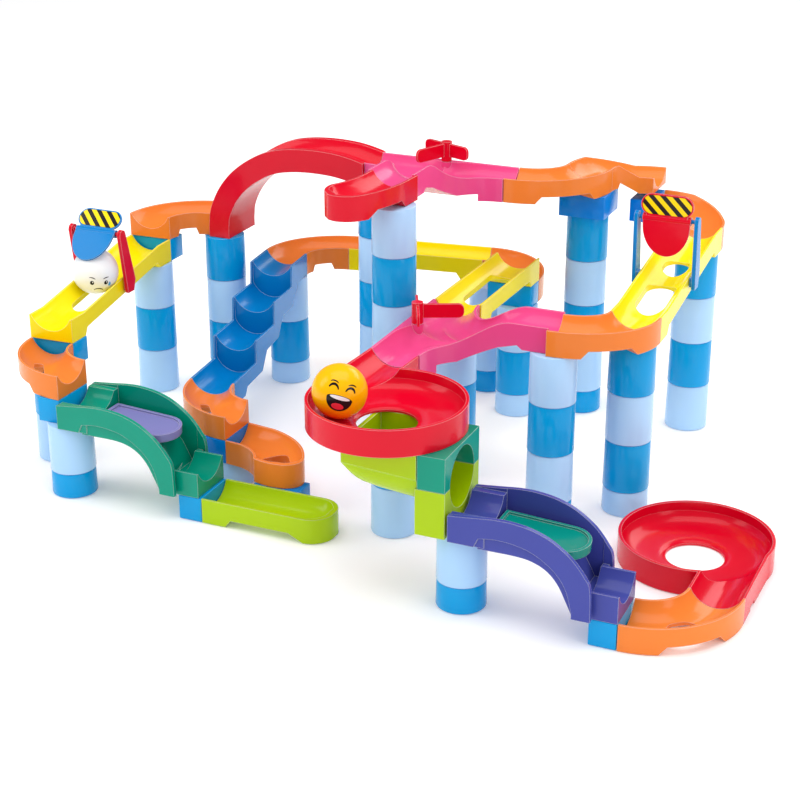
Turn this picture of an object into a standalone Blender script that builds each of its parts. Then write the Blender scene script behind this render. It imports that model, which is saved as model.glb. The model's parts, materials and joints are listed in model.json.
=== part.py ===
"""Marble run: plug-together tracks, junctions, slides, dishes and stacked tubes.

All sizes are in millimetres on one grid: the corner column stands at (0, 0), one level is
25 mm high, +X runs along the long side and +Y across it. The model is centred at the end.
"""
import math

import bmesh
import bpy
from mathutils import Matrix, Vector

# ---------------------------------------------------------------- driving dimensions
MM = 0.001
CENTRE_X = -227.25
CENTRE_Y = 8.9
LEVEL = 25.0
GAP = 0.3

TRACK_WIDTH = 50.0
RIM = 2.0
CHANNEL_DEPTH = 15.0
UNDERCUT = 7.5
FOOT = 25.0
FOOT_SLANT = 5.0
ARC_STEPS = 6
TURN_STEP = 11.0

TUBE_RADIUS = 22.5
TUBE_SIDES = 16
TUBE_TAPER = 0.5
BLOCK_LONG = 50.0
BLOCK_SHORT = 25.0

BALL_RADIUS = 24.4
DISH_RADIUS = 71.5
DISH_HOLE = 27.0
DISH_WALL = 3.0
DISH_INLET_SIDE = 44.0
DISH_INLET_AHEAD = 100.0

JUNCTION_STEM = 131.0
JUNCTION_HUB_TOP = -14.0
JUNCTION_HUB_LOW = -10.0
BLADE_LENGTHS = (31.0, 45.0, 31.0)
BLADE_LOW = 5.0
BLADE_HIGH = 19.0
BLADE_THICK = 2.6
HUB_RADIUS = 5.6
HUB_HEIGHT = 21.0
PIN_RADIUS = 2.2

SMALL_SLIDE_LENGTH = 150.0
SIDE_INNER = 30.0
SIDE_OUTER = 34.0
RAIL_THICK = 4.4
TONGUE_AXIS = (70.0, 53.0)
TONGUE_HALF = 24.5
TONGUE_BACK = -38.0
TONGUE_ROUND_FROM = 24.0
TONGUE_ROUND = 22.0
TONGUE_PIN = 2.1
TONGUE_TILT = 3.0

CATCH_LENGTH = 71.0
CATCH_HALF = 39.0
CATCH_WALL = 3.0
CATCH_INSET = 1.6
CATCH_BELLY = ((0.0, 20.0), (0.45, 23.0), (0.78, 27.0), (0.89, 32.5), (0.96, 41.0), (1.0, 50.0))
CATCH_SPACE = ((-0.02, 24.0), (0.45, 27.0), (0.76, 31.5), (0.88, 38.0), (0.945, 47.0))
TUNNEL_THICK = 25.7
TUNNEL_RADIUS = 27.5
TUNNEL_AXIS = 43.5
TUNNEL_SEAM = 43.0
TUNNEL_TOP = 75.0 - GAP

GATE_HALF = 28.0
POST_WIDTH = 11.0
POST_THICK = 4.0
GATE_ROD = 2.0
CLIP_INNER = 25.8
FLAP_HALF = 23.5
FLAP_SHOULDER = 6.0
FLAP_TUBE = 4.2
EAR_RADIUS = 11.0
EAR_CENTRE = (15.0, 14.0)

PALETTE = {
    "red": (0.72, 0.01, 0.04), "pink": (0.86, 0.08, 0.26), "orange": (0.93, 0.30, 0.04),
    "yellow": (0.95, 0.72, 0.02), "lime": (0.55, 0.75, 0.02), "green": (0.01, 0.36, 0.22),
    "blue": (0.01, 0.36, 0.78), "deep_blue": (0.01, 0.16, 0.55), "pale_blue": (0.47, 0.66, 0.90),
    "violet": (0.10, 0.11, 0.55), "lilac": (0.45, 0.38, 0.76), "white": (0.92, 0.92, 0.92),
    "ball_yellow": (0.98, 0.74, 0.03),
}


# ---------------------------------------------------------------- scene and materials
def clear_scene():
    for item in list(bpy.data.objects):
        bpy.data.objects.remove(item, do_unlink=True)


def new_collection(name):
    group = bpy.data.collections.new(name)
    bpy.context.scene.collection.children.link(group)
    return group


def plastic(name):
    """Glossy moulded plastic in one palette colour."""
    material = bpy.data.materials.get(name)
    if material:
        return material
    material = bpy.data.materials.new(name)
    material.use_nodes = True
    shader = material.node_tree.nodes["Principled BSDF"]
    shader.inputs["Base Color"].default_value = (*PALETTE[name], 1.0)
    shader.inputs["Roughness"].default_value = 0.22
    shader.inputs["Metallic"].default_value = 0.0
    return material


clear_scene()
PARTS = new_collection("marble_run")
TOOLS = new_collection("cutters")


def place(item, x, y, z, yaw=0.0):
    """Stand an object at grid millimetres, turned about the vertical."""
    item.location = Vector((x - CENTRE_X, y - CENTRE_Y, z)) * MM
    item.rotation_euler = (0.0, 0.0, math.radians(yaw))
    return item


def add_object(name, mesh, colour=None):
    """Link a finished mesh as a named part, or as a hidden cutter when it has no colour."""
    item = bpy.data.objects.new(name, mesh)
    if colour:
        mesh.materials.clear()
        mesh.materials.append(plastic(colour))
        PARTS.objects.link(item)
    else:
        TOOLS.objects.link(item)
        item.hide_render = True
        item.display_type = "WIRE"
    mesh.shade_smooth()
    mesh.set_sharp_from_angle(angle=math.radians(35))
    return item


def from_bmesh(bm, name, colour=None):
    bmesh.ops.recalc_face_normals(bm, faces=bm.faces)
    bmesh.ops.scale(bm, vec=(MM, MM, MM), verts=bm.verts)
    mesh = bpy.data.meshes.new(name)
    bm.to_mesh(mesh)
    bm.free()
    return add_object(name, mesh, colour)


def cut(item, tool, operation="DIFFERENCE"):
    """Boolean with a tool that is modelled in the item's own frame."""
    tool.parent = item
    modifier = item.modifiers.new(tool.name, "BOOLEAN")
    modifier.operation = operation
    modifier.solver = "EXACT"
    modifier.object = tool
    return item


def join(item, tool):
    return cut(item, tool, "UNION")


# ---------------------------------------------------------------- basic solids
def box(name, low, high, colour=None):
    """Box between two corners, in its own frame."""
    bm = bmesh.new()
    bmesh.ops.create_cube(bm, size=1.0)
    size = [high[i] - low[i] for i in range(3)]
    middle = [(high[i] + low[i]) / 2 for i in range(3)]
    bmesh.ops.scale(bm, vec=size, verts=bm.verts)
    bmesh.ops.translate(bm, vec=middle, verts=bm.verts)
    return from_bmesh(bm, name, colour)


def rod(name, radius, low, high, sides=24, colour=None):
    """Round bar between two points of its own frame."""
    start, end = Vector(low), Vector(high)
    bm = bmesh.new()
    bmesh.ops.create_cone(bm, cap_ends=True, segments=sides, radius1=radius,
                          radius2=radius, depth=(end - start).length)
    turn = (end - start).to_track_quat("Z", "Y").to_matrix().to_4x4()
    bmesh.ops.transform(bm, matrix=Matrix.Translation((start + end) / 2) @ turn, verts=bm.verts)
    return from_bmesh(bm, name, colour)


def flat_prism(name, outline, low, high, axis="Z", colour=None):
    """Outline extruded from low to high. Axis Z takes (x, y) points and axis Y takes (x, z)."""
    curve = bpy.data.curves.new(name, "CURVE")
    curve.dimensions = "2D"
    curve.fill_mode = "BOTH"
    curve.extrude = (high - low) / 2 * MM
    spline = curve.splines.new("POLY")
    spline.points.add(len(outline) - 1)
    for point, (a, b) in zip(spline.points, outline):
        point.co = (a * MM, b * MM, 0.0, 1.0)
    spline.use_cyclic_u = True
    drawn = bpy.data.objects.new(name, curve)
    PARTS.objects.link(drawn)
    evaluated = drawn.evaluated_get(bpy.context.evaluated_depsgraph_get())
    mesh = bpy.data.meshes.new_from_object(evaluated)
    bpy.data.objects.remove(drawn, do_unlink=True)
    mesh.name = name
    bm = bmesh.new()
    bm.from_mesh(mesh)
    bmesh.ops.remove_doubles(bm, verts=bm.verts, dist=0.00001)
    bmesh.ops.dissolve_limit(bm, angle_limit=0.001, verts=bm.verts, edges=bm.edges)
    middle = (low + high) / 2 * MM
    if axis == "Z":
        move = Matrix.Translation((0, 0, middle))
    else:
        move = Matrix.Translation((0, middle, 0)) @ Matrix.Rotation(math.radians(90), 4, "X")
    bmesh.ops.transform(bm, matrix=move, verts=bm.verts)
    bmesh.ops.recalc_face_normals(bm, faces=bm.faces)
    bm.to_mesh(mesh)
    bm.free()
    return add_object(name, mesh, colour)


def turned(name, profile, steps, colour=None):
    """Solid of revolution. The (radius, height) profile runs down the outer side."""
    mesh = bpy.data.meshes.new(name)
    points = [(radius * MM, 0.0, height * MM) for radius, height in profile]
    edges = [(i, i + 1) for i in range(len(points) - 1)]
    mesh.from_pydata(points, edges, [])
    item = add_object(name, mesh, colour)
    screw = item.modifiers.new("turn", "SCREW")
    screw.axis = "Z"
    screw.steps = steps
    screw.render_steps = steps
    screw.use_merge_vertices = True
    screw.merge_threshold = 0.00001
    return item


# ---------------------------------------------------------------- the channelled bar
def channel_section(half, inner, depth, under, height=LEVEL):
    """Outline of a bar with a round channel, as (side, height) pairs."""
    radius = (inner * inner + depth * depth) / (2 * depth)
    reach = math.asin(min(1.0, inner / radius))
    outline = [(-half, under), (half, under), (half, height)]
    for step in range(ARC_STEPS + 1):
        angle = reach - 2 * reach * step / ARC_STEPS
        outline.append((radius * math.sin(angle), height - depth + radius * (1 - math.cos(angle))))
    outline.append((-half, height))
    return outline


def groove_section(inner, depth, top):
    """Outline of the space above a round channel floor, as (side, height) pairs."""
    radius = (inner * inner + depth * depth) / (2 * depth)
    reach = math.acos(max(0.0, 1 - (depth + 0.8) / radius))
    wide = radius * math.sin(reach)
    outline = [(-wide, top), (wide, top)]
    for step in range(ARC_STEPS + 1):
        angle = reach - 2 * reach * step / ARC_STEPS
        outline.append((radius * math.sin(angle), radius * (1 - math.cos(angle))))
    return outline


def loft(name, stations, colour=None):
    """Skin over unlike sections. A station is (origin, side vector, up vector, outline)."""
    bm = bmesh.new()
    rings = []
    for origin, side, up, outline in stations:
        ring = [bm.verts.new(Vector(origin) + Vector(side) * s + Vector(up) * t)
                for s, t in outline]
        rings.append(ring)
    count = len(rings[0])
    for first, second in zip(rings, rings[1:]):
        for i in range(count):
            j = (i + 1) % count
            bm.faces.new((first[i], first[j], second[j], second[i]))
    bm.faces.new(rings[0])
    bm.faces.new(list(reversed(rings[-1])))
    return from_bmesh(bm, name, colour)


def bezier(start, control_a, control_b, end, t):
    u = 1 - t
    return tuple(u ** 3 * a + 3 * u * u * t * b + 3 * u * t * t * c + t ** 3 * d
                 for a, b, c, d in zip(start, control_a, control_b, end))


def plan_path(end_x, end_y, end_yaw, fine=400):
    """Smooth path from the origin, heading +X, to the end pose. Gives (length, x, y, yaw)."""
    turn = math.radians((end_yaw + 180.0) % 360.0 - 180.0)
    chord = math.hypot(end_x, end_y)
    if abs(turn) > math.radians(5):
        handle = 4 / 3 * math.tan(abs(turn) / 4) * chord / (2 * math.sin(abs(turn) / 2))
    else:
        handle = chord / 3
    head = (math.cos(turn), math.sin(turn))
    points = ((0.0, 0.0), (handle, 0.0),
              (end_x - handle * head[0], end_y - handle * head[1]), (end_x, end_y))
    path = []
    run = 0.0
    last = (0.0, 0.0)
    for i in range(fine + 1):
        t = i / fine
        x, y = bezier(*points, t)
        ahead = bezier(*points, min(1.0, t + 0.001))
        behind = bezier(*points, max(0.0, t - 0.001))
        run += math.hypot(x - last[0], y - last[1])
        last = (x, y)
        path.append((run, x, y, math.atan2(ahead[1] - behind[1], ahead[0] - behind[0])))
    path[-1] = (run, end_x, end_y, turn)
    path[0] = (0.0, 0.0, 0.0, 0.0)
    return path


def at_length(path, distance):
    best = min(path, key=lambda row: abs(row[0] - distance))
    return best


def ramp(value, low, high):
    return min(1.0, max(0.0, (value - low) / (high - low)))


def local_end(start, end):
    """End pose in the frame of the start pose. A pose is (x, y, yaw, level)."""
    angle = math.radians(start[2])
    dx, dy = end[0] - start[0], end[1] - start[1]
    x = dx * math.cos(angle) + dy * math.sin(angle)
    y = -dx * math.sin(angle) + dy * math.cos(angle)
    return x, y, end[2] - start[2], (end[3] - start[3]) * LEVEL


def track_stations(length, turn, straight_steps=3):
    """Distances where a track gets a section: its feet, their slants and the turn between."""
    marks = [GAP / 2, FOOT, FOOT + FOOT_SLANT, length - FOOT - FOOT_SLANT, length - FOOT,
             length - GAP / 2]
    steps = max(straight_steps, int(round(abs(turn) / TURN_STEP)))
    low, high = marks[0], marks[-1]
    for i in range(1, steps):
        distance = low + (high - low) * i / steps
        if min(abs(distance - mark) for mark in marks) > 2.5:
            marks.append(distance)
    return sorted(marks)


def track(name, start, end, colour, feet=(True, True)):
    """Channelled bar between two joint poses, with a raised underside between its feet."""
    x, y, turn, drop = local_end(start, end)
    path = plan_path(x, y, turn)
    length = path[-1][0]
    bent = math.degrees(path[-1][3])
    stations = []
    for distance in track_stations(length, bent):
        row = at_length(path, distance)
        along = min(max(distance, GAP / 2), length - GAP / 2)
        head = Vector((math.cos(row[3]), math.sin(row[3]), 0.0))
        if distance in (GAP / 2, length - GAP / 2):
            base = path[0] if distance < length / 2 else path[-1]
            head = Vector((math.cos(base[3]), math.sin(base[3]), 0.0))
            shift = distance if distance < length / 2 else distance - length
            point = Vector((base[1], base[2], 0.0)) + head * shift
        else:
            point = Vector((row[1], row[2], 0.0))
        raise_in = ramp(along, FOOT, FOOT + FOOT_SLANT) if feet[0] else 1.0
        raise_out = ramp(length - along, FOOT, FOOT + FOOT_SLANT) if feet[1] else 1.0
        under = UNDERCUT * min(raise_in, raise_out)
        point.z = drop * ramp(along, FOOT, length - FOOT)
        side = Vector((-head.y, head.x, 0.0))
        outline = channel_section(TRACK_WIDTH / 2, TRACK_WIDTH / 2 - RIM, CHANNEL_DEPTH, under)
        stations.append((point, side, (0, 0, 1), outline))
    item = loft(name, stations, colour)
    return place(item, start[0], start[1], start[3] * LEVEL, start[2])


def oval_cutter(name, centre, length, width, low, high, turn=0.0, steps=8):
    """Upright cutter with round ends, long side along its own +X turned by an angle."""
    radius = width / 2
    reach = length / 2 - radius
    outline = []
    for sign in (1, -1):
        for i in range(steps + 1):
            angle = math.radians(-90 + 180 * i / steps)
            px = sign * (reach + radius * math.cos(angle))
            py = sign * radius * math.sin(angle)
            outline.append((px, py))
    angle = math.radians(turn)
    turned_outline = [(centre[0] + px * math.cos(angle) - py * math.sin(angle),
                       centre[1] + px * math.sin(angle) + py * math.cos(angle))
                      for px, py in outline]
    return flat_prism(name, turned_outline, low, high)


# ---------------------------------------------------------------- columns and blocks
def column(name, x, y, top, seams, block=None):
    """Stack of plugged tubes, each a little narrower at its top, with any spacer block on it."""
    height = top * LEVEL - GAP
    profile = [(0.0, height), (TUBE_RADIUS - TUBE_TAPER, height)]
    for level in sorted(seams, reverse=True):
        z = level * LEVEL
        profile += [(TUBE_RADIUS, z), (TUBE_RADIUS - TUBE_TAPER, z)]
    profile += [(TUBE_RADIUS, 0.0), (0.0, 0.0)]
    item = turned(name, profile, TUBE_SIDES, "pale_blue")
    place(item, x, y, 0.0)
    if block:
        low_x, low_y, size_x, size_y = block
        low = (low_x - x, low_y - y, height - GAP)
        high = (low_x - x + size_x, low_y - y + size_y, (top + 1) * LEVEL - GAP)
        join(item, box(name + "_block", low, high))
    return item


def block(name, x, y, size_x, size_y, level, colour):
    """Spacer block one level high, given by its low corner."""
    item = box(name, (0, 0, 0), (size_x, size_y, LEVEL - GAP), colour)
    return place(item, x, y, level * LEVEL)


# ---------------------------------------------------------------- T junction
def junction_outline(half_span, offset):
    """Plan of the T: stem toward +X, exits at both ends of Y, with round inner corners."""
    half = TRACK_WIDTH / 2 - offset
    fillet = half_span - TRACK_WIDTH / 2 + offset
    extra = 0.0 if offset == 0 else 5.0
    outline = [(JUNCTION_STEM - GAP + extra, -half), (JUNCTION_STEM - GAP + extra, half)]
    for i in range(9):
        angle = math.radians(90 * i / 8)
        outline.append((half + fillet * (1 - math.sin(angle)), half + fillet * (1 - math.cos(angle))))
    outline += [(half, half_span - GAP + extra), (-half, half_span - GAP + extra)]
    outline += [(-half, -half_span + GAP - extra), (half, -half_span + GAP - extra)]
    for i in range(9):
        angle = math.radians(90 - 90 * i / 8)
        outline.append((half + fillet * (1 - math.sin(angle)),
                        -half - fillet * (1 - math.cos(angle))))
    return outline


def junction_height(x):
    """Height of the rim above the exits' rim: the stem is one level up."""
    share = ramp(x, 34.0, 96.0)
    return LEVEL * share * share * (3 - 2 * share)


def turn_path(radius, half_span, sign, extra):
    """Route from the stem to one exit: straight, a quarter turn, straight."""
    points = [(JUNCTION_STEM + extra, 0.0, math.pi)]
    for x in (104.0, 96.0, 85.0, 75.0, 65.0, 55.0, 45.0):
        if x > radius + 4:
            points.append((x, 0.0, math.pi))
    for i in range(9):
        angle = math.radians(90 * i / 8)
        x = radius - radius * math.sin(angle)
        y = radius - radius * math.cos(angle)
        points.append((x, sign * y, math.pi - sign * angle))
    points.append((0.0, sign * (half_span + extra), sign * math.pi / 2))
    return points


def junction_channel(name, radius, half_span, sign, trim):
    """Cutter for the ball's route from the stem to one exit."""
    stations = []
    for x, y, yaw in turn_path(radius, half_span, sign, 6.0 + trim):
        side = (-math.sin(yaw), math.cos(yaw), 0)
        base = LEVEL - CHANNEL_DEPTH + junction_height(x) + trim
        outline = groove_section(TRACK_WIDTH / 2 - RIM - trim, CHANNEL_DEPTH, 70.0)
        stations.append(((x, y, base), side, (0, 0, 1), outline))
    return loft(name, stations)


def junction(name, x, y, yaw, level, half_span, hub):
    """Ball drops in from the stem and leaves by one of the two exits below."""
    item = flat_prism(name, junction_outline(half_span, 0.0), 0.0, 2 * LEVEL, colour="pink")
    place(item, x, y, level * LEVEL, yaw)
    heights = [(20.0 + 4 * i) for i in range(21)]
    top = [(20.0, 70.0), (20.0, LEVEL)] + [(px, LEVEL + junction_height(px)) for px in heights]
    top = [(-30.0, LEVEL), (-30.0, 70.0), (JUNCTION_STEM + 5, 70.0),
           (JUNCTION_STEM + 5, 2 * LEVEL + 0.01)] + list(reversed(top[2:]))
    cut(item, flat_prism(name + "_top", top, -90.0, 90.0, axis="Y"))
    under = [(36.0, 0.6), (JUNCTION_STEM + 5, 0.6), (JUNCTION_STEM + 5, LEVEL),
             (JUNCTION_STEM - FOOT, LEVEL), (JUNCTION_STEM - FOOT - 5, LEVEL + 4.0),
             (82.0, LEVEL - 1.0), (62.0, 15.0), (46.0, UNDERCUT + 0.4)]
    cut(item, flat_prism(name + "_under", under, -90.0, 90.0, axis="Y"))
    low = half_span - FOOT
    for index, (radius, trim) in enumerate(((half_span - 1.0, 0.0), (34.0, 0.25))):
        for sign in (1, -1):
            extra = trim + 0.1 * (sign > 0)
            tool = junction_channel(f"{name}_way_{index}_{sign + 1}", radius, half_span, sign, extra)
            cut(item, tool)
    cut(item, box(name + "_mid", (-40, -low, -5), (JUNCTION_STEM + 10, low, UNDERCUT)))
    join(item, rod(name + "_boss", HUB_RADIUS, (hub, 0, UNDERCUT + 1), (hub, 0, LEVEL + 1.4), 16))
    join(item, rod(name + "_pin", PIN_RADIUS, (hub, 0, LEVEL), (hub, 0, LEVEL + 13), 12))
    return item


def blade_outline(length, low, corner=5.5):
    """Side view of a blade: straight from the hub, with round outer corners."""
    outline = [(0.0, low + BLADE_LOW)]
    for middle, start in ((low + BLADE_LOW + corner, -90), (low + BLADE_HIGH - corner, 0)):
        for i in range(4):
            angle = math.radians(start + 30 * i)
            outline.append((length - corner + corner * math.cos(angle),
                            middle + corner * math.sin(angle)))
    outline.append((0.0, low + BLADE_HIGH))
    return outline


def diverter(name, x, y, level, first_angle):
    """Flip-flop with three flat blades a quarter turn apart, on the pin's axis."""
    low = 1.9
    item = rod(name, HUB_RADIUS, (0, 0, low), (0, 0, low + HUB_HEIGHT), 16, "red")
    place(item, x, y, level * LEVEL)
    for i, length in enumerate(BLADE_LENGTHS):
        blade = flat_prism(f"{name}_blade_{i}", blade_outline(length, low), -BLADE_THICK / 2,
                           BLADE_THICK / 2, axis="Y")
        blade.rotation_euler = (0, 0, math.radians(first_angle + 90 * i))
        join(item, blade)
    cut(item, rod(name + "_bore", PIN_RADIUS + 0.5, (0, 0, 0), (0, 0, 14.5), 12))
    return item


# ---------------------------------------------------------------- dishes
def dish(name, x, y, yaw, level, side):
    """Round dish fed by a tangent inlet. The origin is the inlet joint, heading +X."""
    centre = (DISH_INLET_AHEAD, side * DISH_INLET_SIDE)
    half = TRACK_WIDTH / 2
    item = rod(name, DISH_RADIUS, (*centre, 0), (*centre, LEVEL), 32, "red")
    place(item, x, y, level * LEVEL, yaw)
    outer = -side * (DISH_RADIUS - DISH_INLET_SIDE)
    tail = [(GAP / 2, -half), (GAP / 2, half), (DISH_INLET_AHEAD - 20, half),
            (DISH_INLET_AHEAD, 0), (DISH_INLET_AHEAD, outer + side * 1.2), (30.0, -side * half)]
    join(item, flat_prism(name + "_tail", tail, 0.0, LEVEL))
    bowl = [(0.0, 40.0), (DISH_RADIUS - DISH_WALL, 40.0), (DISH_RADIUS - DISH_WALL, 16.0),
            (64.0, 10.5), (56.0, 7.0), (44.0, 5.2), (31.0, 4.2), (DISH_HOLE, 2.0),
            (DISH_HOLE, -5.0), (0.0, -5.0)]
    tool = turned(name + "_bowl", bowl, 32)
    tool.location = Vector((*centre, 0.0)) * MM
    cut(item, tool)
    inner = half - RIM
    stations = []
    for distance, depth, base in ((-5.0, CHANNEL_DEPTH, 10.0), (30.0, CHANNEL_DEPTH, 10.0),
                                  (60.0, 16.0, 9.0), (DISH_INLET_AHEAD, 17.5, 7.5)):
        outline = groove_section(inner, depth, 30.0)
        stations.append(((distance, 0, base), (0, 1, 0), (0, 0, 1), outline))
    cut(item, loft(name + "_inlet", stations))
    cut(item, box(name + "_arch", (FOOT, -half - 5, -5), (40.0, half + 5, 4.0)))
    return item


# ---------------------------------------------------------------- small arch slide and tongue
RAIL = [(GAP / 2, 50), (24, 50), (28, 58.5), (40, 60.3), (51, 60.4), (62, 59), (73, 56.2), (86, 49.5),
        (99, 38.5), (107, 25.3), (111.5, 8.2), (112, 1), (128.6, 1), (127.4, 31.2), (122, 42.4),
        (112.5, 54.5), (103, 62.5), (93, 69), (83, 73.5), (72, 76.7), (61, 78.4), (50, 79.1),
        (38, 78.6), (24, 77), (GAP / 2, 74.5)]
WELL = [(27, 64), (27, 48), (62, 48), (78, 45.3), (90, 39), (99, 29), (106, 15.5), (112, 3), (124, 2),
        (124, 18), (110, 30), (101, 43), (89, 54), (78, 61), (62, 65)]
WELL_SPACE = [(30, 90), (30, 50), (62, 50), (79, 47.3), (92, 40.8), (101.5, 30.5), (108.5, 17.5),
              (112, 10.2), (119, 10.2), (119, 90)]


def small_slide(name, x, y, yaw, level, colour):
    """Two-level drop between arched side rails, with a well for the rocking tongue."""
    item = flat_prism(name, WELL, 2 - SIDE_OUTER, SIDE_OUTER - 2, axis="Y", colour=colour)
    place(item, x, y, level * LEVEL, yaw)
    for sign, word in ((1, "left"), (-1, "right")):
        low, high = sorted((sign * (SIDE_OUTER - RAIL_THICK), sign * SIDE_OUTER))
        join(item, flat_prism(f"{name}_rail_{word}", RAIL, low, high, axis="Y"))
    half = TRACK_WIDTH / 2
    join(item, box(name + "_start", (GAP / 2, -SIDE_OUTER + 1, 50), (33, SIDE_OUTER - 1, 74)))
    join(item, box(name + "_shoulder", (118, -SIDE_OUTER + 2, 1.5), (125, SIDE_OUTER - 2, 24)))
    join(item, box(name + "_exit", (119.5, -half, 0), (SMALL_SLIDE_LENGTH - GAP / 2, half, LEVEL)))
    cut(item, flat_prism(name + "_well", WELL_SPACE, -SIDE_INNER, SIDE_INNER, axis="Y"))
    for word, low, high, base in (("in", -5, 36, 60), ("out", 110, 155, 10)):
        outline = groove_section(half - RIM, CHANNEL_DEPTH, 40.0)
        stations = [((u, 0, base), (0, 1, 0), (0, 0, 1), outline) for u in (low, high)]
        cut(item, loft(f"{name}_way_{word}", stations))
    cut(item, rod(name + "_pivot", TONGUE_PIN + 0.5, (TONGUE_AXIS[0], -31.3, TONGUE_AXIS[1]),
                  (TONGUE_AXIS[0], 31.3, TONGUE_AXIS[1]), 16))
    return item


def tongue(name, x, y, yaw, level, colour):
    """Rocking paddle. Its origin is on the cross pin it rocks about."""
    half = TONGUE_HALF
    outline = [(TONGUE_BACK, -half), (TONGUE_ROUND_FROM, -half)]
    for i in range(1, 8):
        angle = math.radians(-90 + 180 * i / 8)
        outline.append((TONGUE_ROUND_FROM + TONGUE_ROUND * math.cos(angle), half * math.sin(angle)))
    outline += [(TONGUE_ROUND_FROM, half), (TONGUE_BACK, half)]
    item = flat_prism(name, outline, -2.5, 5.5, colour=colour)
    angle = math.radians(yaw)
    place(item, x + TONGUE_AXIS[0] * math.cos(angle), y + TONGUE_AXIS[0] * math.sin(angle),
          level * LEVEL + TONGUE_AXIS[1], yaw)
    item.rotation_euler.y = math.radians(TONGUE_TILT)
    stations = []
    for u, base in ((TONGUE_BACK - 5, 3.6), (55, 1.6)):
        outline = groove_section(20.0, 3.2, 12.0)
        stations.append(((u, 0, base), (0, 1, 0), (0, 0, 1), outline))
    cut(item, loft(name + "_dish", stations))
    join(item, rod(name + "_pin", TONGUE_PIN, (0, -31.0, 0), (0, 31.0, 0), 12))
    return item


# ---------------------------------------------------------------- tall arch slide
ARCH_RIM = [(0, 100), (16, 104.5), (32, 107.5), (50, 109), (68, 109.2), (86, 108), (104, 105),
            (120, 99.5), (134, 92), (147, 83), (159, 72), (170, 58), (178, 43), (183, 28),
            (185, 12), (185, 0)]


def arch(name, x, y, yaw, level, sway):
    """Channelled bar bent over like a banana, three levels down, with a solid foot."""
    half = TRACK_WIDTH / 2 + 5
    stations = []
    for index, (u, z) in enumerate(ARCH_RIM):
        before = ARCH_RIM[max(0, index - 1)]
        after = ARCH_RIM[min(len(ARCH_RIM) - 1, index + 1)]
        tangent = Vector((after[0] - before[0], 0.0, after[1] - before[1])).normalized()
        if index == 0:
            tangent = Vector((1.0, 0.0, 0.0))
        up = Vector((-tangent.z, 0.0, tangent.x))
        if index == 0:
            u = GAP / 2
        if index >= len(ARCH_RIM) - 2:
            up = Vector((1.0, 0.0, 0.0))
        origin = Vector((u - (GAP if u > 184 else 0.0), sway * u / 185.0, z)) - up * LEVEL
        outline = channel_section(half, TRACK_WIDTH / 2 - RIM, CHANNEL_DEPTH, 0.0)
        stations.append((origin, (0, 1, 0), up, outline))
    item = loft(name, stations, "red")
    place(item, x, y, level * LEVEL, yaw)
    foot = [(161, 0), (185 - GAP, 0), (185 - GAP, 10), (177, 11.5), (171.5, 16), (169, 24), (163, 24)]
    join(item, flat_prism(name + "_foot", foot, sway - half + 3, sway + half - 3, axis="Y"))
    return item


# ---------------------------------------------------------------- stairs
STAIR_TOP = [(GAP / 2, 100), (47, 100), (49, 75.5), (101, 75.5), (103, 50), (155, 50), (157, 25)]
STAIR_UNDER = [(30, 75), (35, 67), (48, 53), (74, 52), (84, 44), (92, 32), (126, 29), (140, 10),
               (183, 8.5), (189, 0)]


def stairs(name, start, end):
    """Four dished steps, each one level under the last."""
    x, y = local_end(start, end)[:2]
    length = math.hypot(x, y)
    yaw = start[2] + math.degrees(math.atan2(y, x))
    side = STAIR_TOP + [(length - GAP / 2, 25), (length - GAP / 2, 0)]
    side += list(reversed(STAIR_UNDER)) + [(GAP / 2, 75)]
    half = TRACK_WIDTH / 2
    item = flat_prism(name, side, -half, half, axis="Y", colour="blue")
    place(item, start[0], start[1], end[3] * LEVEL, yaw)
    edges = (-5.0, 49.5, 103.5, 157.5, length + 5)
    for step in range(4):
        base = 85.0 - LEVEL * step
        outline = groove_section(half - RIM, CHANNEL_DEPTH, 60.0)
        low = edges[step] - (0.0 if step == 0 else 6.0)
        stations = [((u, 0, base), (0, 1, 0), (0, 0, 1), outline) for u in (low, edges[step + 1])]
        cut(item, loft(f"{name}_step_{step}", stations))
    return item


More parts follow.
